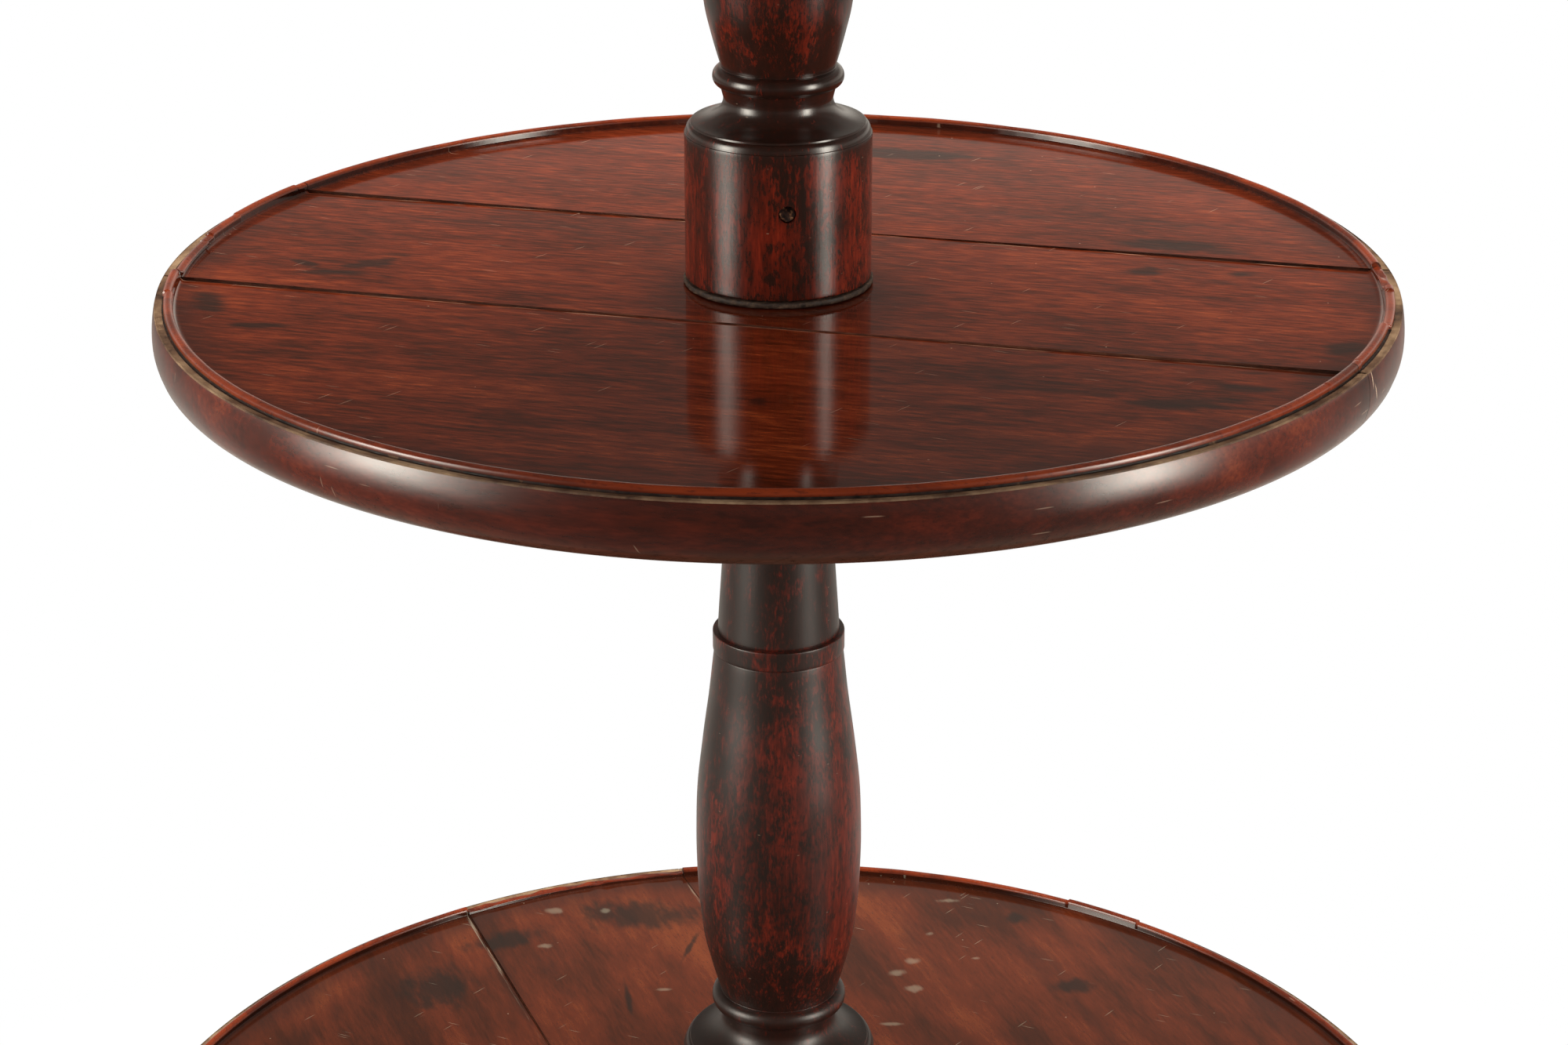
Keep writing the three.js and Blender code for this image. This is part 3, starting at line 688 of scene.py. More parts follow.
# Polish of the trays, with the marks that the photograph shows and some where it doesn't reach.
# Smudges and spots are (x, y, half length, half width, turn), and scratches on the nosing are (degrees
# round the tier, height over its flat, lean).
TRAYS = {
    "lower_tier": Sizes(
        sheen=0.14, figure=(0.4, 0.16, 0.2, 0.6), tint=(0.7, 0.9, 0.94, 1), scratches=[],
        smudges=[
            (-72, 246, 46, 20, 0), (-140, 219, 26, 12, 20), (-75, 160, 2.2, 24, 8), (-46, 210, 2, 20, -14),
            (122, 243, 8, 8, 0), (145, 172, 16, 9, 0), (-170, 171, 22, 30, 0), (60, 80, 40, 9, 30),
            (-60, -120, 50, 14, -50), (140, -90, 30, 12, 70),
        ],
        spots=[
            (88, 262, 8, 3, 0), (67, 197, 5, 4, 0), (59, 185, 6, 4, 20), (67, 169, 6, 4, 0),
            (77, 226, 3, 3, 0), (99, 200, 3, 2, 0), (55, 134, 7, 2, 0), (-116, 251, 6, 4, 0),
            (-90, 251, 3, 3, 0), (-120, 213, 4, 3, 0), (-57, 168, 5, 2, 0), (30, -150, 9, 6, 0),
        ],
    ),
    "middle_tier": Sizes(
        sheen=0.07, figure=TRAY_FIGURE, tint=None, scratches=[(-26.9, -2.5, -8), (-26.0, -8.5, -24)],
        smudges=[
            (-204, -57, 22, 5, 0), (-182, 12, 20, 6, 0), (-196, 24, 12, 4, -45), (-168, 24, 22, 7, 32),
            (149, -148, 34, 11, 0), (176, -132, 16, 7, -12), (151, 13, 11, 7, 0), (190, 9, 8, 6, 0),
            (-7, -145, 5, 6, 0), (219, -84, 14, 9, 40), (-228, -28, 9, 18, 10), (-216, 118, 14, 6, 30),
            (168, 48, 36, 10, -14), (60, 190, 60, 12, -12),
        ],
        spots=[(205, -128, 3, 3, 0)],
    ),
    "top_tier": Sizes(
        sheen=0.09, figure=TRAY_FIGURE, tint=None, scratches=[],
        smudges=[(60, 90, 26, 9, -38), (-90, -40, 18, 12, -38), (10, -130, 30, 7, -30)],
        spots=[(-60, 70, 5, 4, 0), (90, -60, 6, 3, 0)],
    ),
}
SCRATCH_SIZE = (0.45, 12, 4.2)


def grain_scales(axis, along, across):
    return tuple(along if i == axis else across for i in range(3))


def figured(look, axis, weights=FIGURE):
    """Figure of the wood from dark to light, the dashes in it, and its fine pores."""
    layers = [
        look.noise(grain_scales(axis, along, across), *texture) for along, across, *texture in FIGURE_LAYERS
    ]
    figure = 0.5 - sum(weights) / 2
    for layer, weight in zip(layers, weights):
        figure = look.times(layer, weight, figure)
    return figure, layers[2], look.noise(grain_scales(axis, 80, 2300), 1, 0.5)


def polished(name, sheen, coat_ior=1.5, wood_shine=0.0):
    """Wood under a clear polish. sheen is the polish's roughness."""
    return Finish(
        name, Coat_Weight=1.0, Coat_Roughness=sheen, Coat_IOR=coat_ior, IOR=1.5,
        Specular_IOR_Level=wood_shine,
    )


def board_grain(look, tier):
    """Lays the grain along a tier's boards, with a shift from board to board. Gives back the place
    along and across them."""
    local = look.turned(look.place, -tier.turn)
    across = look.split(local)[1]
    board = 0
    for joint in tier.joints:
        board = look.math("ADD", look.math("GREATER_THAN", across, joint * MM), board)
    boards = look.add("ShaderNodeCombineXYZ", {0: board, 1: board, 2: board})
    look.grain = look.vector("MULTIPLY_ADD", boards, BOARD_SHIFT, local)
    return local


def seam_lines(look, tier, local):
    """The glued joints: a dark line, and a thin pale edge in front of it with gaps."""
    across = look.split(local)[1]
    kept = look.span(look.noise((34, 900, 34), 2, 0.6, place=local), 0.5, 0.66)
    dark, pale = 0, 0
    for joint in tier.joints:
        dark = look.math("MAXIMUM", dark, look.line(across, joint, 0.5, 0.1))
        edge = look.times(look.line(across, joint - SEAM_EDGE, 1.1, 0.3), kept)
        pale = look.math("MAXIMUM", pale, edge)
    return dark, pale


def tray_darkening(look, tier):
    """Share of the smoky tone: in clouds, and darker along the rim and round the pillar's foot."""
    clouds = look.span(look.noise((12, 34, 34), 4, 0.62), 0.54, 0.76, 0, 0.5)
    radius = look.vector("LENGTH", look.vector("MULTIPLY", look.place, (1, 1, 0)), output="Value")
    drift = look.times(look.noise(14, 3, 0.6, place=look.place), 0.05, -0.025)
    worn_radius = look.math("ADD", radius, drift)
    edge = (tier.radius - RIM.cove_width) * MM
    # The flat turns darker toward the rim and round the pillar's foot
    rim_darkening = look.span(worn_radius, edge - 0.022, edge + 0.004, 0, 0.7)
    foot_darkening = look.span(worn_radius, 0.066, 0.042, 0, 0.5)
    return look.most(clouds, rim_darkening, foot_darkening)


def tray_marks(look, spots, ragged, seam_edge):
    """Share of pale marks: dots, scratches, spots, and the pale lines beside the joints."""
    dots = look.specks(look.place, (150, 150, 150), 0.06, 0.07)
    strokes = look.specks(look.turned(look.place, 24), (70, 1800, 70), 0.01, 0.3)
    more_strokes = look.specks(look.turned(look.place, -51), (56, 1500, 56), 0.008, 0.28)
    scattered = look.times(look.most(dots, strokes, more_strokes), 0.4)
    pale_spots = [look.times(look.blot(*spot, ragged, 0.25), 0.22) for spot in spots]
    return look.most(scattered, *pale_spots, look.times(seam_edge, 0.4))


def tray_finish(tier):
    """Old polish on the boards of a tier. Each board has its own figure."""
    tray = TRAYS[tier.name]
    look = polished(f"{tier.name}_polish", tray.sheen)
    local = board_grain(look, tier)
    figure, dashes, pores = figured(look, 0, tray.figure)
    ragged = look.times(look.noise((60, 160, 160), 3, 0.6), 1.5, -0.75)
    tone = look.mix(tray_darkening(look, tier), look.ramp(figure, WOOD_TONES), SMOKE)
    dark = look.most(*[look.blot(*smudge, ragged, 0.3) for smudge in tray.smudges])
    tone = look.mix(look.times(dark, 0.78), tone, PATINA)
    speckle = look.noise((260, 1100, 900), 2, 0.6)
    tone = look.mix(look.span(speckle, 0.56, 0.74, 0, 0.55), tone, SMOKE)
    seam, seam_edge = seam_lines(look, tier, local)
    marks = tray_marks(look, tray.spots, ragged, seam_edge)
    tone = look.mix(marks, tone, PALE)
    tone = look.mix(look.times(seam, 0.6), tone, PATINA)
    if tray.tint:
        tone = look.mix(1.0, tone, tray.tint, "MULTIPLY")

    rough = look.times(marks, 0.5, look.times(dashes, 0.25, 0.24), clamp=True)
    waves = look.bump(look.noise((7, 26, 26), 2, 0.5), 0.10, strength=0.55)
    fine = look.times(dashes, 0.6, look.times(pores, 0.5))
    return look.finish(tone, rough, look.bump(fine, 0.05, waves), look.bump(fine, 0.014, waves))


def rim_marks(look, tier):
    """Share of pale strokes and scratches on the rim."""
    strokes = look.specks(look.turned(look.place, 20), (60, 60, 900), 0.015, 0.28)
    nicks = look.specks(look.turned(look.place, 66), (900, 60, 90), 0.012, 0.25)
    marks = look.times(look.most(strokes, nicks), 0.35)
    nose_start = tier.radius + RIM.bead_width + RIM.groove_width
    for turn, rise, lean in TRAYS[tier.name].scratches:
        centre = (*polar(nose_start, turn), flat_of(tier) + rise)
        marks = look.math("MAXIMUM", marks, look.scratch(centre, turn + 90, lean))
    return marks


def rim_finish(tier):
    """Softer polish on the bead and nosing, redder on the bead, and paler low down, where a reflection of
    the floor is painted.
    """
    look = polished(f"{tier.name}_rim_polish", 0.26, 1.55)
    local = board_grain(look, tier)
    figure, dashes, _ = figured(look, 0, RIM_FIGURE)
    over_flat = look.times(look.split(look.place)[2], 1 / MM, -flat_of(tier))
    clouds = look.noise((14, 30, 60), 4, 0.6)
    tone = look.mix(look.span(clouds, 0.5, 0.72, 0, 0.6), look.ramp(figure, RIM_TONES), SMOKE)
    # Painted reflection of the white floor: the lower nosing and its underside turn paler
    low = look.span(over_flat, -15, 1 - RIM.edge_thick, 0, 0.25)
    tone = look.mix(look.times(low, clouds), tone, PALE)
    on_bead = look.times(look.span(over_flat, 1.2, 3.0), look.span(clouds, 0.62, 0.4, 0.25, 0.85))
    tone = look.mix(on_bead, tone, BEAD_TONE)
    speckle = look.noise((260, 700, 700), 2, 0.6)
    tone = look.mix(look.span(speckle, 0.52, 0.74, 0, 0.5), tone, SMOKE)
    tone = look.mix(rim_marks(look, tier), tone, PALE)
    seam, _ = seam_lines(look, tier, local)
    tone = look.mix(look.times(seam, 0.8), tone, PATINA)
    dents = look.bump(look.noise((30, 30, 60), 3, 0.5, place=look.place), 0.16, strength=0.5)
    rough = look.times(dashes, 0.2, 0.3)
    return look.finish(tone, rough, look.bump(dashes, 0.04, dents), look.bump(dashes, 0.012, dents))


def dust_finish():
    """Grey-brown dust packed into the groove of a rim."""
    look = Finish("groove_dust", Specular_IOR_Level=0.2)
    patches = look.noise(160, 4, 0.65)
    thin = look.noise(28, 2, 0.5)
    cover = look.times(thin, 0.9, look.times(patches, 0.7, -0.32))
    tone = look.ramp(cover, [(0.25, "#35231a"), (0.42, "#5c4535"), (0.66, "#846d57")])
    return look.finish(tone, look.span(cover, 0.3, 0.6, 0.5, 0.9), look.bump(patches, 0.3, strength=0.6))


def pitted_finish(name, shine, texture, tones, rough, depth):
    """A dull surface mottled and pitted by one noise of (scale, detail, roughness).
    rough is the range of the noise, and the roughness at both ends of it."""
    look = Finish(name, Specular_IOR_Level=shine)
    pits = look.noise(*texture)
    return look.finish(look.ramp(pits, tones), look.span(pits, *rough), look.bump(pits, depth))


def plain_wood(name, turn, tones, rough, depth, **surface):
    """Wood without polish, with its grain turned by some degrees."""
    look = Finish(name, **surface)
    look.grain = look.turned(look.place, turn)
    figure, dashes, _ = figured(look, 0)
    rough = look.span(dashes, 0.3, 0.7, *rough)
    return look.finish(look.ramp(figure, tones), rough, look.bump(dashes, depth))


def column_patina(look, foot, darkness, bias, streaks):
    """Share of black patina on a section: most in its hollows, and broken up by noise."""
    x, _, z = look.split(look.place)
    total = darkness[-1][0]
    rise = look.times(z, 1 / (total * MM), -foot / total)
    share = look.ramp(rise, [(height / total, amount) for height, amount in darkness])
    share = look.times(x, -bias / MM, share)
    clouds = look.noise((52, 52, 30), 3, 0.6, 0.3)
    flecks = look.noise((260, 260, 140), 3, 0.6)
    grit = look.noise((1100, 1100, 360), 2, 0.6)
    level = look.times(clouds, 0.8, look.times(flecks, 0.8))
    level = look.times(share, 0.5, look.times(grit, 0.9, level))
    for x, rise, *size in streaks:
        level = look.times(look.upright_blot(x, foot + rise, *size), 0.45, level)
    return look.span(level, 1.27, 1.62, 0, 0.92)


def column_finish(name, foot, darkness, sheen, bias=0.0, streaks=()):
    """Turned and polished mahogany. darkness lists (height over the foot, share of patina), bias makes
    it darker toward the left, and streaks are dark marks on its front: (x, height, half width and rise)."""
    look = polished(name, sheen, 1.55)
    look.grain = look.vector("ADD", look.place, (foot * MM, 0, 0))
    figure, dashes, pores = figured(look, 2)
    patina = column_patina(look, foot, darkness, bias, streaks)
    tone = look.mix(patina, look.ramp(figure, COLUMN_TONES), PATINA)
    fibres = look.noise((1500, 1500, 70), 2, 0.6)
    tone = look.mix(look.span(fibres, 0.54, 0.72, 0, 0.4), tone, PATINA)
    nicks = look.specks(look.place, (240, 240, 900), 0.02, 0.18)
    tone = look.mix(look.times(nicks, 0.35), tone, PALE)
    rings = look.noise((6, 6, 1500), 2, 0.5, place=look.place)
    fine = look.times(pores, 0.5, look.times(rings, 0.5, dashes))
    dents = look.bump(look.noise((70, 70, 40), 2, 0.5), 0.12, strength=0.5)
    rough = look.times(dashes, 0.2, 0.28)
    return look.finish(tone, rough, look.bump(fine, 0.06, dents), look.bump(fine, 0.022, dents))


def leg_finish():
    """Polished mahogany with dark mottles, and darker at the feet."""
    look = polished("leg_polish", 0.18, wood_shine=0.15)
    look.grain = look.turned(look.place, 38, axis=1)
    figure, dashes, pores = figured(look, 0)
    mottle = look.noise((26, 80, 80), 4, 0.62, 0.3)
    low = look.span(look.split(look.place)[2], 0.05, 0.0, 0, 0.12)
    patina = look.span(look.math("ADD", mottle, low), 0.55, 0.72, 0, 0.85)
    tone = look.mix(patina, look.ramp(figure, COLUMN_TONES), PATINA)
    fine = look.times(pores, 0.5, dashes)
    dents = look.bump(look.noise((30, 50, 50), 2, 0.5), 0.15, strength=0.5)
    rough = look.times(dashes, 0.2, 0.28)
    return look.finish(tone, rough, look.bump(fine, 0.06, dents), look.bump(fine, 0.02, dents))


def iron_finish():
    """Forged iron with brown rust."""
    look = Finish("forged_iron")
    rust = look.noise(55, 5, 0.65)
    pits = look.noise(600, 3, 0.6)
    tone = look.ramp(rust, [(0.35, "#3b3836"), (0.52, "#3a2a22"), (0.68, "#5d3420")])
    look.feed(look.shader.inputs["Metallic"], look.span(rust, 0.44, 0.6, 0.9, 0.0))
    rough = look.span(rust, 0.4, 0.62, 0.42, 0.85)
    return look.finish(tone, rough, look.bump(pits, 0.12, look.bump(rust, 0.5)))


# Tiers

POLISH, DUST, RAW_WOOD, BEAD_SHADOW, RIM_POLISH = range(5)  # materials of a board, by number


def flat_of(tier):
    """Height of a tier's flat over the floor."""
    return height_of(f"{tier.name}_{tier.boards[0]}", 1) - RIM.bead_height


def rim_form(tier):
    """How the rim of a tier is worn and broken round its edge."""
    bead_low, bead_high = tier.radius - 0.5, tier.radius + RIM.bead_width + 0.01
    full = RIM.bead_height - RIM.groove_floor

    def form(turn, radius, height):
        place = Vector((*polar(1, turn), 0)) * radius * WEAR_SCALE
        if bead_low < radius < bead_high and height > RIM.groove_floor:
            share = (height - RIM.groove_floor) / full
            height -= BEAD_WEAR * share * (0.5 + 0.5 * noise.noise(place))
            for start, stop, drop, shift in tier.breaks:
                if start <= turn <= stop or start <= turn - 360 <= stop:
                    ragged = 0.75 + 0.5 * noise.noise(place * 6) if drop > 1 else 1
                    height -= drop * share * ragged
                    radius += shift
        elif radius > bead_high + RIM.groove_width:
            radius -= NOSE_WEAR * (0.5 + 0.5 * noise.noise(place * 0.7 + Vector((0, 0, 3))))
        return radius, height

    return form


def rim_angles(tier):
    """Angles all round a tier, closer together at the ends of each break."""
    nudges = (-0.3, -0.12, 0.0, 0.12, 0.3)
    ends = [end + nudge for start, stop, *_ in tier.breaks for end in (start, stop) for nudge in nudges]
    whole = [360 * i / TIER_ANGLES for i in range(TIER_ANGLES)]
    return sorted({round(angle % 360, 3) for angle in [*whole, *ends]})


def rim_zone(tier):
    """The material of each part of a tier's section."""
    bead_end = tier.radius + RIM.bead_width
    nose_start = bead_end + RIM.groove_width
    dust_start = bead_end + RIM.groove_width * GROOVE_FOOT

    def zone(radius, height):
        if dust_start < radius < nose_start + DUST_LIP and height > DUST_DROP:
            return DUST
        # A dark pitted sheet at the outer foot of the bead, painted as the bead's shadow
        if bead_end - SHADOW_LAP < radius <= dust_start and 0 < height < SHADOW_RISE:
            return BEAD_SHADOW
        if radius < tier.radius and height < RAW_RISE - RIM.thick or radius <= tier.bore:
            return RAW_WOOD
        return RIM_POLISH if radius > tier.radius else POLISH

    return zone


def halved(piece, point, normal, keep_above):
    """Cuts a piece with a plane through a point and closes the cut. Keeps one side."""
    shape = bmesh.new()
    shape.from_mesh(piece.data)
    everything = [*shape.verts, *shape.edges, *shape.faces]
    result = bmesh.ops.bisect_plane(
        shape, geom=everything, plane_co=point, plane_no=normal, dist=1e-7,
        clear_outer=not keep_above, clear_inner=keep_above,
    )
    edges = [item for item in result["geom_cut"] if isinstance(item, bmesh.types.BMEdge)]
    filled = bmesh.ops.contextual_create(shape, geom=edges)["faces"]
    if not filled:
        filled = bmesh.ops.holes_fill(shape, edges=edges, sides=0)["faces"]
    for face in filled:
        face.material_index = RAW_WOOD
    bmesh.ops.triangulate(shape, faces=filled)
    bmesh.ops.recalc_face_normals(shape, faces=shape.faces)
    shape.to_mesh(piece.data)
    shape.free()
    return piece


def screw(sizes, length, turn, material):
    """A slotted countersunk screw that points up from height zero."""
    body = lathe("screw", rounded(screw_outline(sizes, length), 0.15), 28, [material])
    reach, half = sizes.head_radius + 1, SLOT.width / 2
    return cut(body, turned_to(box((-reach, -half, -1), (reach, half, SLOT.depth)), turn))


def screw_hole(sizes, length):
    shank, head = sizes.shank_radius + SEAT, sizes.head_radius + SEAT
    outline = [
        (0, length + SEAT), (shank, length + SEAT), (shank, sizes.head_depth + SEAT), (head, SEAT),
        (head, -OVERRUN), (0, -OVERRUN),
    ]
    return lathe("tool", outline, 28)


def block_screw_places(tier):
    block = tier.block
    reach = block.radius - block.screw_inset
    return [polar(reach, tier.turn + block.first_screw + 90 * i) for i in range(4)]


def build_tier(tier):
    """The boards of a tier, the block under them, and the screws that hold it."""
    flat = flat_of(tier)
    block_bottom = flat - RIM.thick - SEAT - tier.block.thick
    length = tier.block.thick + BLOCK_SCREW.bite
    materials = [tray_finish(tier), dust, raw, bead_shadow, rim_finish(tier)]
    across = Matrix.Rotation(math.radians(tier.turn), 3, "Z") @ Vector((0, 1, 0))
    places = block_screw_places(tier)

    def holes(low, high):
        held = [place for place in places if low < place[0] * across.x + place[1] * across.y < high]
        return [moved(screw_hole(BLOCK_SCREW, length), *place, block_bottom + SEAT) for place in held]

    edges = [-math.inf, *tier.joints, math.inf]
    for board, low, high in zip(tier.boards, edges, edges[1:]):
        piece = lathe(
            board, tier_outline(tier), rim_angles(tier), materials, rim_zone(tier), rim_form(tier), flat
        )
        if low > -math.inf:
            halved(piece, across * (low + SEAT / 2) * MM, across, True)
        if high < math.inf:
            halved(piece, across * (high - SEAT / 2) * MM, across, False)
        stand_for(smoothed(cut(piece, *holes(low, high))), f"{tier.name}_{board}")

    block = lathe("block", block_outline(tier.block), 128, [block_wood], lift=block_bottom)
    stand_for(cut(block, *holes(-math.inf, math.inf)), f"{tier.name}_block")
    for i, place in enumerate(places):
        fastener = screw(BLOCK_SCREW, length, SLOT.first_turn + SLOT.next_turn * i, iron)
        stand_for(moved(fastener, *place, block_bottom + SEAT), f"{tier.name}_screw_{i + 1}")


# Pillar

BASE_DARKNESS = [
    (0, 0.6), (90, 0.35), (112, 0.9), (130, 0.8), (160, 0.3), (190, 0.5), (215, 0.8), (330, 0.4),
]
UPPER_STREAKS = [(9.4, 42, 2.2, 26), (-3.5, 22, 3.4, 5), (-3, 9, 3.5, 4)]


def section_darkness(s):
    """Share of black patina up a section: most in its hollows."""
    _, drum, _, hollow, _, bead_foot, baluster, ring, neck, cove, _, top = section_lines(s)
    belly, waist, shoulder = (baluster + s.baluster_rise * share for share in (0.2, 0.45, 0.8))
    return [
        (0, 0.45), (3, 0.2), (drum * 0.4, 0.25), (drum * 0.9, 0.3), (drum, 0.8), (hollow, 1.0),
        (bead_foot, 0.9), (baluster, 0.8), (belly, 0.4), (waist, 0.3), (shoulder, 0.42), (ring - 4, 0.7),
        (ring, 0.6), (neck, 0.5), (neck + 2, 0.85), (cove, 0.7), (top + 80, 0.6),
    ]


def peg_hole(section, spigot):
    """The hole for a peg, from outside a section's drum into the spigot in it."""
    inner = spigot - PEG.bite - SEAT
    hole = turned_to(rod(PEG.radius + SEAT, section.drum_radius + OVERRUN - inner), 90, "Y")
    return turned_to(moved(hole, inner, 0, section.drum_height * PEG.height_share), PEG.turn)


def build_peg(node, section, spigot, foot, material):
    """A peg whose end is broken on a slant."""
    inner = spigot - PEG.bite
    reach = section.drum_radius - PEG.sunk - inner
    outline = [(radius, reach) for radius in (0, 1.1, 2.2, PEG.radius)] + [(PEG.radius, 0), (0, 0)]
    body = lathe("peg", rounded(outline, 0.3), 28, [material])
    for vertex in body.data.vertices:
        if vertex.co.z > (reach - 1) * MM:
            across, up = PEG.slants
            slant = across * (vertex.co.x - PEG.radius * MM) + up * (vertex.co.y - PEG.radius * MM)
            vertex.co.z += min(0, slant + noise.noise(vertex.co * 900) * PEG.ragged * MM)
    body = moved(turned_to(body, 90, "Y"), inner, 0, section.drum_height * PEG.height_share)
    return stand_for(moved(turned_to(body, PEG.turn), z=foot), node)


def build_washer(node, spigot, material):
    low, high = height_of(node, 0), height_of(node, 1)
    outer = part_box(node)[1].x / MM
    inner = spigot + WASHER.play
    edge = WASHER.edge
    rim = arc((outer - edge, (low + high) / 2), edge, (high - low) / 2, 90, -90, 8)
    ring = lathe("washer", [(inner, high), *rim, (inner, low)], WASHER.angles, [material])
    return stand_for(roughened(ring, *WASHER_WEAR, 7), node)


def build_column(node, section, spigot, socket, material, *more_holes):
    foot = height_of(node, 0)
    top = height_of(node, 1) - foot
    piece = lathe(node, section_outline(section, spigot, top, socket), PILLAR_ANGLES, [material])
    roughened(piece, *TURNED_WEAR, foot)
    return stand_for(moved(cut(piece, peg_hole(section, socket), *more_holes), z=foot), node)


def leg_tail(growth, bottom):
    """The dovetail of a leg, grown by some play where it is to cut its socket."""
    neck, back = TAIL.neck_width / 2 + growth, TAIL.back_width / 2 + growth
    inner, top = SHOULDER - TAIL.depth - growth, LEG.rise - TAIL.headroom + growth
    blade = prism([(inner, -back), (SHOULDER, -neck), (SHOULDER, neck), (inner, back)], bottom, top)
    return fused(blade, box((SHOULDER - 0.5, -neck, bottom), (SHOULDER + OVERRUN, neck, top)))


def build_base(material):
    """The lowest section, with the legs' dovetail sockets and the hole for the peg above it."""
    top = height_of("base_pillar", 1) - BASE_BOTTOM
    piece = lathe("base_pillar", base_outline(BASE_SECTION, LOWER_SPIGOT, top), PILLAR_ANGLES, [material])
    roughened(piece, *TURNED_WEAR, 5)
    moved(piece, z=BASE_BOTTOM)
    below = BASE_BOTTOM - OVERRUN
    outside = BASE_SECTION.block_radius + OVERRUN
    tools = []
    for turn in LEG_TURNS.values():
        flat = box((PILLAR_FLAT, -LEG.width, below), (outside, LEG.width, LEG.rise + SEAT))
        tools += [turned_to(flat, turn), turned_to(leg_tail(SEAT, below), turn)]
    peg = moved(peg_hole(middle, LOWER_SPIGOT), z=height_of("lower_column", 0))
    return stand_for(cut(piece, *tools, peg), "base_pillar")


def leg_ring(along):
    """One section across a leg: a rounded rectangle that gets rounder toward the foot."""
    high = spline([(SHOULDER + LEG.reach * out, LEG.rise * up) for out, up in TOP_RAIL], along)
    low = spline([(SHOULDER + LEG.reach * out, BASE_BOTTOM * up) for out, up in UNDER_RAIL], along)
    width = LEG.width * spline([(share,) for share in LEG_WIDTHS], along)[0]
    power = 2 / (LEG.flatness + (LEG.roundness - LEG.flatness) * min(1, 2 * along))

    def eased(value):
        return math.copysign(abs(value) ** power, value)

    for i in range(LEG.points):
        a = 2 * math.pi * (i + 0.5) / LEG.points
        up = (1 + eased(math.sin(a))) / 2
        x, z = (low[k] + (high[k] - low[k]) * up for k in (0, 1))
        yield x, width / 2 * eased(math.cos(a)), z


def leg_skin():
    """A leg without its foot, from its shoulder outward."""
    count, rings = LEG.points, LEG.rings
    points = [point for r in range(rings) for point in leg_ring(r / (rings - 1))]
    faces = []
    for start in range(0, (rings - 1) * count, count):
        for i in range(count):
            here, there = start + i, start + (i + 1) % count
            faces.append((here, there, there + count, here + count))
    last = (rings - 1) * count
    faces += [tuple(range(count)), tuple(range(last, last + count))]
    return new_piece("leg", points, faces)


def softened(piece, cell, rounds):
    """Blends the joints of a piece by meshing it again in cells, and smoothing that."""
    remesh = piece.modifiers.new("remesh", "REMESH")
    remesh.mode = "VOXEL"
    remesh.voxel_size = cell * MM
    smooth = piece.modifiers.new("smooth", "SMOOTH")
    smooth.factor = 0.5
    smooth.iterations = rounds
    return applied(piece)


def leg_mesh(material):
    """A cabriole leg on a pad foot, with its dovetail, in a frame whose X runs out along the leg."""
    body = fused(leg_skin(), moved(lathe("tool", foot_outline(), 96), SHOULDER + LEG.reach))
    roughened(softened(body, LEG.cell, LEG.smoothing), *LEG_WEAR, 3)
    below = box((0, -LEG.width, -OVERRUN * 2), (LEG.reach * 2, LEG.width, 0))
    behind = box((0, -LEG.width, -OVERRUN), (SHOULDER, LEG.width, LEG.rise * 2))
    cut(body, below, behind)
    fused(body, leg_tail(0, BASE_BOTTOM + TAIL.footroom))
    return coated(cut(body, plate_screw_hole()), material)


def build_legs(material):
    first = leg_mesh(material)
    for node, turn in LEG_TURNS.items():
        piece = placed(node, first.data.copy())
        piece.rotation_euler.z = math.radians(turn)
        stand_for(piece, node)
    bpy.data.objects.remove(first)


def plate_screw_hole():
    return moved(screw_hole(PLATE_SCREW, PLATE_SCREW_LENGTH), PLATE_SCREW_REACH, 0, PLATE_BOTTOM + SEAT)


def build_plate(material):
    """The three-armed iron plate under the pillar, and its screws."""
    low, high, half = PLATE_BOTTOM, PLATE_BOTTOM + PLATE.thick, PLATE.arm_width / 2
    hub = rounded([(0, high), (PLATE.hub_radius, high), (PLATE.hub_radius, low), (0, low)], 0.5)
    tip = [polar(half, degrees) for degrees in range(-90, 91, 9)]
    arm = [(0, -half), *[(PLATE.arm_reach - half + x, y) for x, y in tip], (0, half)]
    turns = LEG_TURNS.values()
    piece = fused(lathe("plate", hub, 72), *[turned_to(prism(arm, low, high), turn) for turn in turns])
    cut(piece, *[turned_to(plate_screw_hole(), turn) for turn in turns])
    stand_for(coated(piece, material), "leg_plate")
    for i, turn in enumerate(turns):
        slot_turn = PLATE_SLOT.first_turn + PLATE_SLOT.next_turn * i
        fastener = screw(PLATE_SCREW, PLATE_SCREW_LENGTH, slot_turn, material)
        place = moved(fastener, PLATE_SCREW_REACH, 0, low + SEAT)
        stand_for(turned_to(place, turn), f"plate_screw_{i + 1}")


# Camera, floor and light

CAMERA = Sizes(place=(2.3, -1374.6, 1230.15), pitch=21.731, lens=81, sensor=36, near=0.05, far=60)
WARM_LIGHT = (1.0, 0.94, 0.83)
WHITE = (1, 1, 1, 1)
PANEL_GAP = 0.02  # panels in one plane would hide each other from a mirror

# Light of the studio: (place, level). Depth runs from 0 in front to 1 behind, side from 0 at the left
# to 1 at the right, and height is a sine. What shines is lit by height, and the rest by the fill.
WORLD_BY_DEPTH = [(0.0, 0.15), (0.4, 0.2), (0.62, 0.8), (1.0, 1.0)]
WORLD_BY_SIDE = [(0.0, 0.8), (0.42, 0.7), (0.5, 0.95), (0.57, 1.15), (1.0, 1.0)]
WORLD_BY_HEIGHT = [
    (0.0, 1.0), (0.2, 0.8), (0.272, 0.28), (0.288, 0.22), (0.3, 0.13), (0.36, 0.12), (0.44, 0.4),
    (0.475, 0.38), (0.505, 0.17), (1.0, 0.15),
]
FILL_BY_HEIGHT = [(0.0, 1.0), (0.4, 1.0), (1.0, 0.8)]

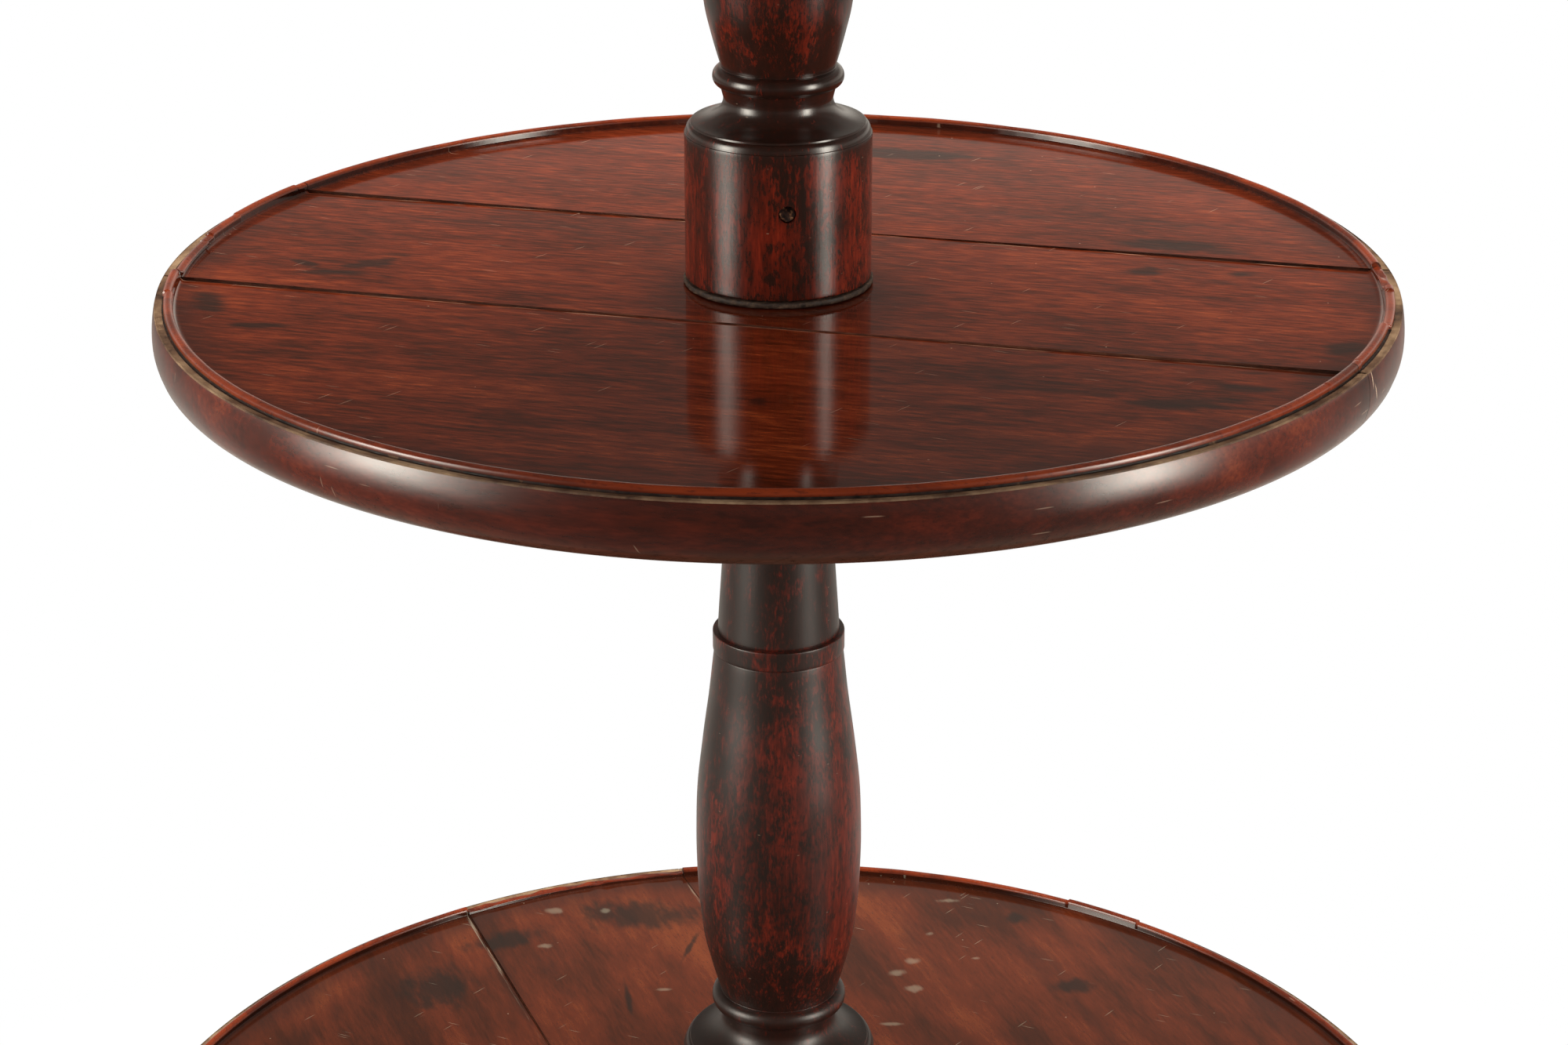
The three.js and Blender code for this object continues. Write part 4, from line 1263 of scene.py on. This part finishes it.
# Lamps, in metres. A softbox has an azimuth in degrees from the camera's side, and panels from the
# outermost one in: (width, low, high, radiance).
SOFTBOX_DISTANCE = 1.6
SOFTBOXES = {
    "left_softbox": (-66, [
        (1.0, 0.42, 1.6, 1.6), (0.75, 0.5, 1.52, 2.3), (0.5, 0.56, 1.46, 4.2), (0.26, 0.64, 1.4, 5.4),
    ]),
    "right_softbox": (60, [
        (0.6, 0.35, 1.6, 1.5), (0.46, 0.45, 1.52, 3.4), (0.34, 0.5, 1.46, 5.0), (0.2, 0.55, 1.4, 5.6),
    ]),
}
OVERHEAD = Sizes(place=(0, 0.9, 2.6), aim=(0, 0.1, 0.8), width=1.6, height=0.9, radiance=22, spread=180)


def add_camera():
    """The photograph's view: from in front and above, slightly to the right of the pillar."""
    data = bpy.data.cameras.new("camera")
    data.lens, data.sensor_width = CAMERA.lens, CAMERA.sensor
    data.clip_start, data.clip_end = CAMERA.near, CAMERA.far
    camera = placed("camera", data)
    tilt = Matrix.Rotation(math.radians(90 - CAMERA.pitch), 4, "X")
    camera.matrix_world = Matrix.Translation([value * MM for value in CAMERA.place]) @ tilt
    bpy.context.scene.camera = camera


def add_lamp(name, place, aim, width, height, radiance, spread=150):
    """A soft rectangular light that the camera doesn't see itself."""
    data = bpy.data.lights.new(name, "AREA")
    data.shape = "RECTANGLE"
    data.size, data.size_y = width, height
    data.energy = radiance * math.pi * width * height
    data.spread = math.radians(spread)
    data.color = WARM_LIGHT
    lamp = placed(name, data)
    lamp.location = place
    lamp.rotation_euler = (Vector(aim) - lamp.location).to_track_quat("-Z", "Y").to_euler()
    lamp.visible_camera = False
    return lamp


def add_softbox(name, azimuth, panels):
    """A tall light that faces the pillar. Each of its panels stands in front of the last, so that it
    fades toward its edges."""
    for i, (width, low, high, radiance) in enumerate(panels):
        x, y = polar(SOFTBOX_DISTANCE - PANEL_GAP * i, azimuth - 90)
        middle = (low + high) / 2
        add_lamp(f"{name}_{i + 1}", (x, y, middle), (0, 0, middle), width, high - low, radiance)


def add_overhead():
    """A wide light above, behind the pillar, which nothing mirrors."""
    lamp = OVERHEAD
    light = add_lamp(
        "overhead_softbox", lamp.place, lamp.aim, lamp.width, lamp.height, lamp.radiance, lamp.spread
    )
    light.visible_glossy = False


def add_floor():
    """A floor that looks white, keeps the table's shadow and throws its light up from behind."""
    reach, sides = 14000, 96
    points = [(*polar(reach, 360 * i / sides), 0) for i in range(sides)]
    floor = new_piece("floor", points, [tuple(range(sides))], smooth=False)
    look = Finish("floor_white", Specular_IOR_Level=0.0, Roughness=1.0)
    seen = look.add("ShaderNodeLightPath", {}, "Is Camera Ray")
    depth = look.split(look.place)[1]
    unseen = look.ramp(look.span(depth, 0.0, 1.2), [(0, 0.12), (1, 0.5)])
    look.feed(look.shader.inputs["Base Color"], look.mix(seen, unseen, srgb("#f4f4f3")))
    away = look.vector("LENGTH", look.place, output="Value")
    share = look.times(seen, look.span(away, 0.35, 0.95, 0.5, 1))
    white = look.add("ShaderNodeEmission", {})
    both = look.add("ShaderNodeMixShader", {0: share, 1: look.shader.outputs[0], 2: white})
    look.feed(look.tree.nodes["Material Output"].inputs["Surface"], both)
    floor.data.materials.append(look.material)


def add_world():
    """A studio with a bright backdrop low behind the table and dim walls in front of it."""
    world = bpy.data.worlds.new("studio")
    bpy.context.scene.world = world
    world.use_nodes = True
    look = Nodes(world.node_tree)
    ray = look.node("ShaderNodeLightPath", {}).outputs
    x, y, z = look.split(look.add("ShaderNodeTexCoord", {}, "Generated"))
    depth = look.ramp(look.times(y, 0.5, 0.5), WORLD_BY_DEPTH)
    side = look.ramp(look.times(x, 0.5, 0.5), WORLD_BY_SIDE)
    mirrored = look.mix(1.0, look.ramp(z, WORLD_BY_HEIGHT), side, "MULTIPLY")
    shines = look.most(ray["Is Glossy Ray"], ray["Is Transmission Ray"])
    level = look.mix(shines, look.ramp(z, FILL_BY_HEIGHT), mirrored)
    light = look.mix(1.0, look.mix(1.0, level, depth, "MULTIPLY"), (*WARM_LIGHT, 1), "MULTIPLY")
    backdrop = look.mix(ray["Is Camera Ray"], light, WHITE)
    look.feed(look.tree.nodes["Background"].inputs["Color"], backdrop)


# Building

add_camera()
dust, iron = dust_finish(), iron_finish()
# Painted shadow of each bead, as a dark pitted sheet at its outer foot
bead_shadow = pitted_finish(
    "black_grime", 0.3, (220, 4, 0.65), [(0.4, "#120b09"), (0.6, "#2c1811"), (0.75, "#6a4f3c")],
    (0.3, 0.7, 0.35, 0.8), 0.3,
)
peg_wood = pitted_finish(
    "peg_wood", 0.4, (700, 3, 0.6), [(0.4, "#120a08"), (0.55, "#3a1d13"), (0.68, "#9a6d4c")],
    (0.4, 0.7, 0.45, 0.8), 0.4,
)
leather = pitted_finish(
    "old_leather", 0.35, (420, 4, 0.65), [(0.35, "#180f0b"), (0.5, "#2f2018"), (0.66, "#544236")],
    (0.3, 0.7, 0.5, 0.85), 0.5,
)
raw = plain_wood(
    "raw_mahogany", 31, [(0.25, "#2c1710"), (0.55, "#573022"), (0.85, "#7d5138")], (0.6, 0.85), 0.12,
    Specular_IOR_Level=0.3,
)
block_wood = plain_wood(
    "block_wood", 73, [(0.25, "#190d09"), (0.55, "#3d2014"), (0.85, "#5f3824")], (0.42, 0.62), 0.08,
    Coat_Weight=0.3, Coat_Roughness=0.4,
)

for tier in TIERS:
    build_tier(tier)

upper_sizes = {
    name: size * (UPPER_HEIGHT_SHARE if name.endswith(RISES) else UPPER_RADIUS_SHARE)
    for name, size in MIDDLE_SECTION.items()
}
middle, upper = Sizes(**MIDDLE_SECTION), Sizes(**upper_sizes)
lower_foot, upper_foot = height_of("lower_column", 0), height_of("upper_column", 0)
lower_wood = column_finish("lower_column_polish", lower_foot, section_darkness(middle), 0.4, 0.003)
upper_wood = column_finish(
    "upper_column_polish", upper_foot, section_darkness(upper), 0.25, -0.003, UPPER_STREAKS
)
next_hole = moved(peg_hole(upper, UPPER_SPIGOT), z=upper_foot - lower_foot)
build_column("lower_column", middle, UPPER_SPIGOT, LOWER_SPIGOT + SEAT, lower_wood, next_hole)
build_column("upper_column", upper, TOP_SPIGOT, UPPER_SPIGOT + SEAT, upper_wood)
build_base(column_finish("base_polish", BASE_BOTTOM, BASE_DARKNESS, 0.3))
build_peg("lower_peg", middle, LOWER_SPIGOT, lower_foot, peg_wood)
build_peg("upper_peg", upper, UPPER_SPIGOT, upper_foot, peg_wood)
build_washer("lower_washer", LOWER_SPIGOT, leather)
build_washer("upper_washer", UPPER_SPIGOT, leather)
build_legs(leg_finish())
build_plate(iron)

add_floor()
add_world()
for name, (azimuth, panels) in SOFTBOXES.items():
    add_softbox(name, azimuth, panels)
add_overhead()
bpy.context.scene.view_settings.view_transform = "Standard"
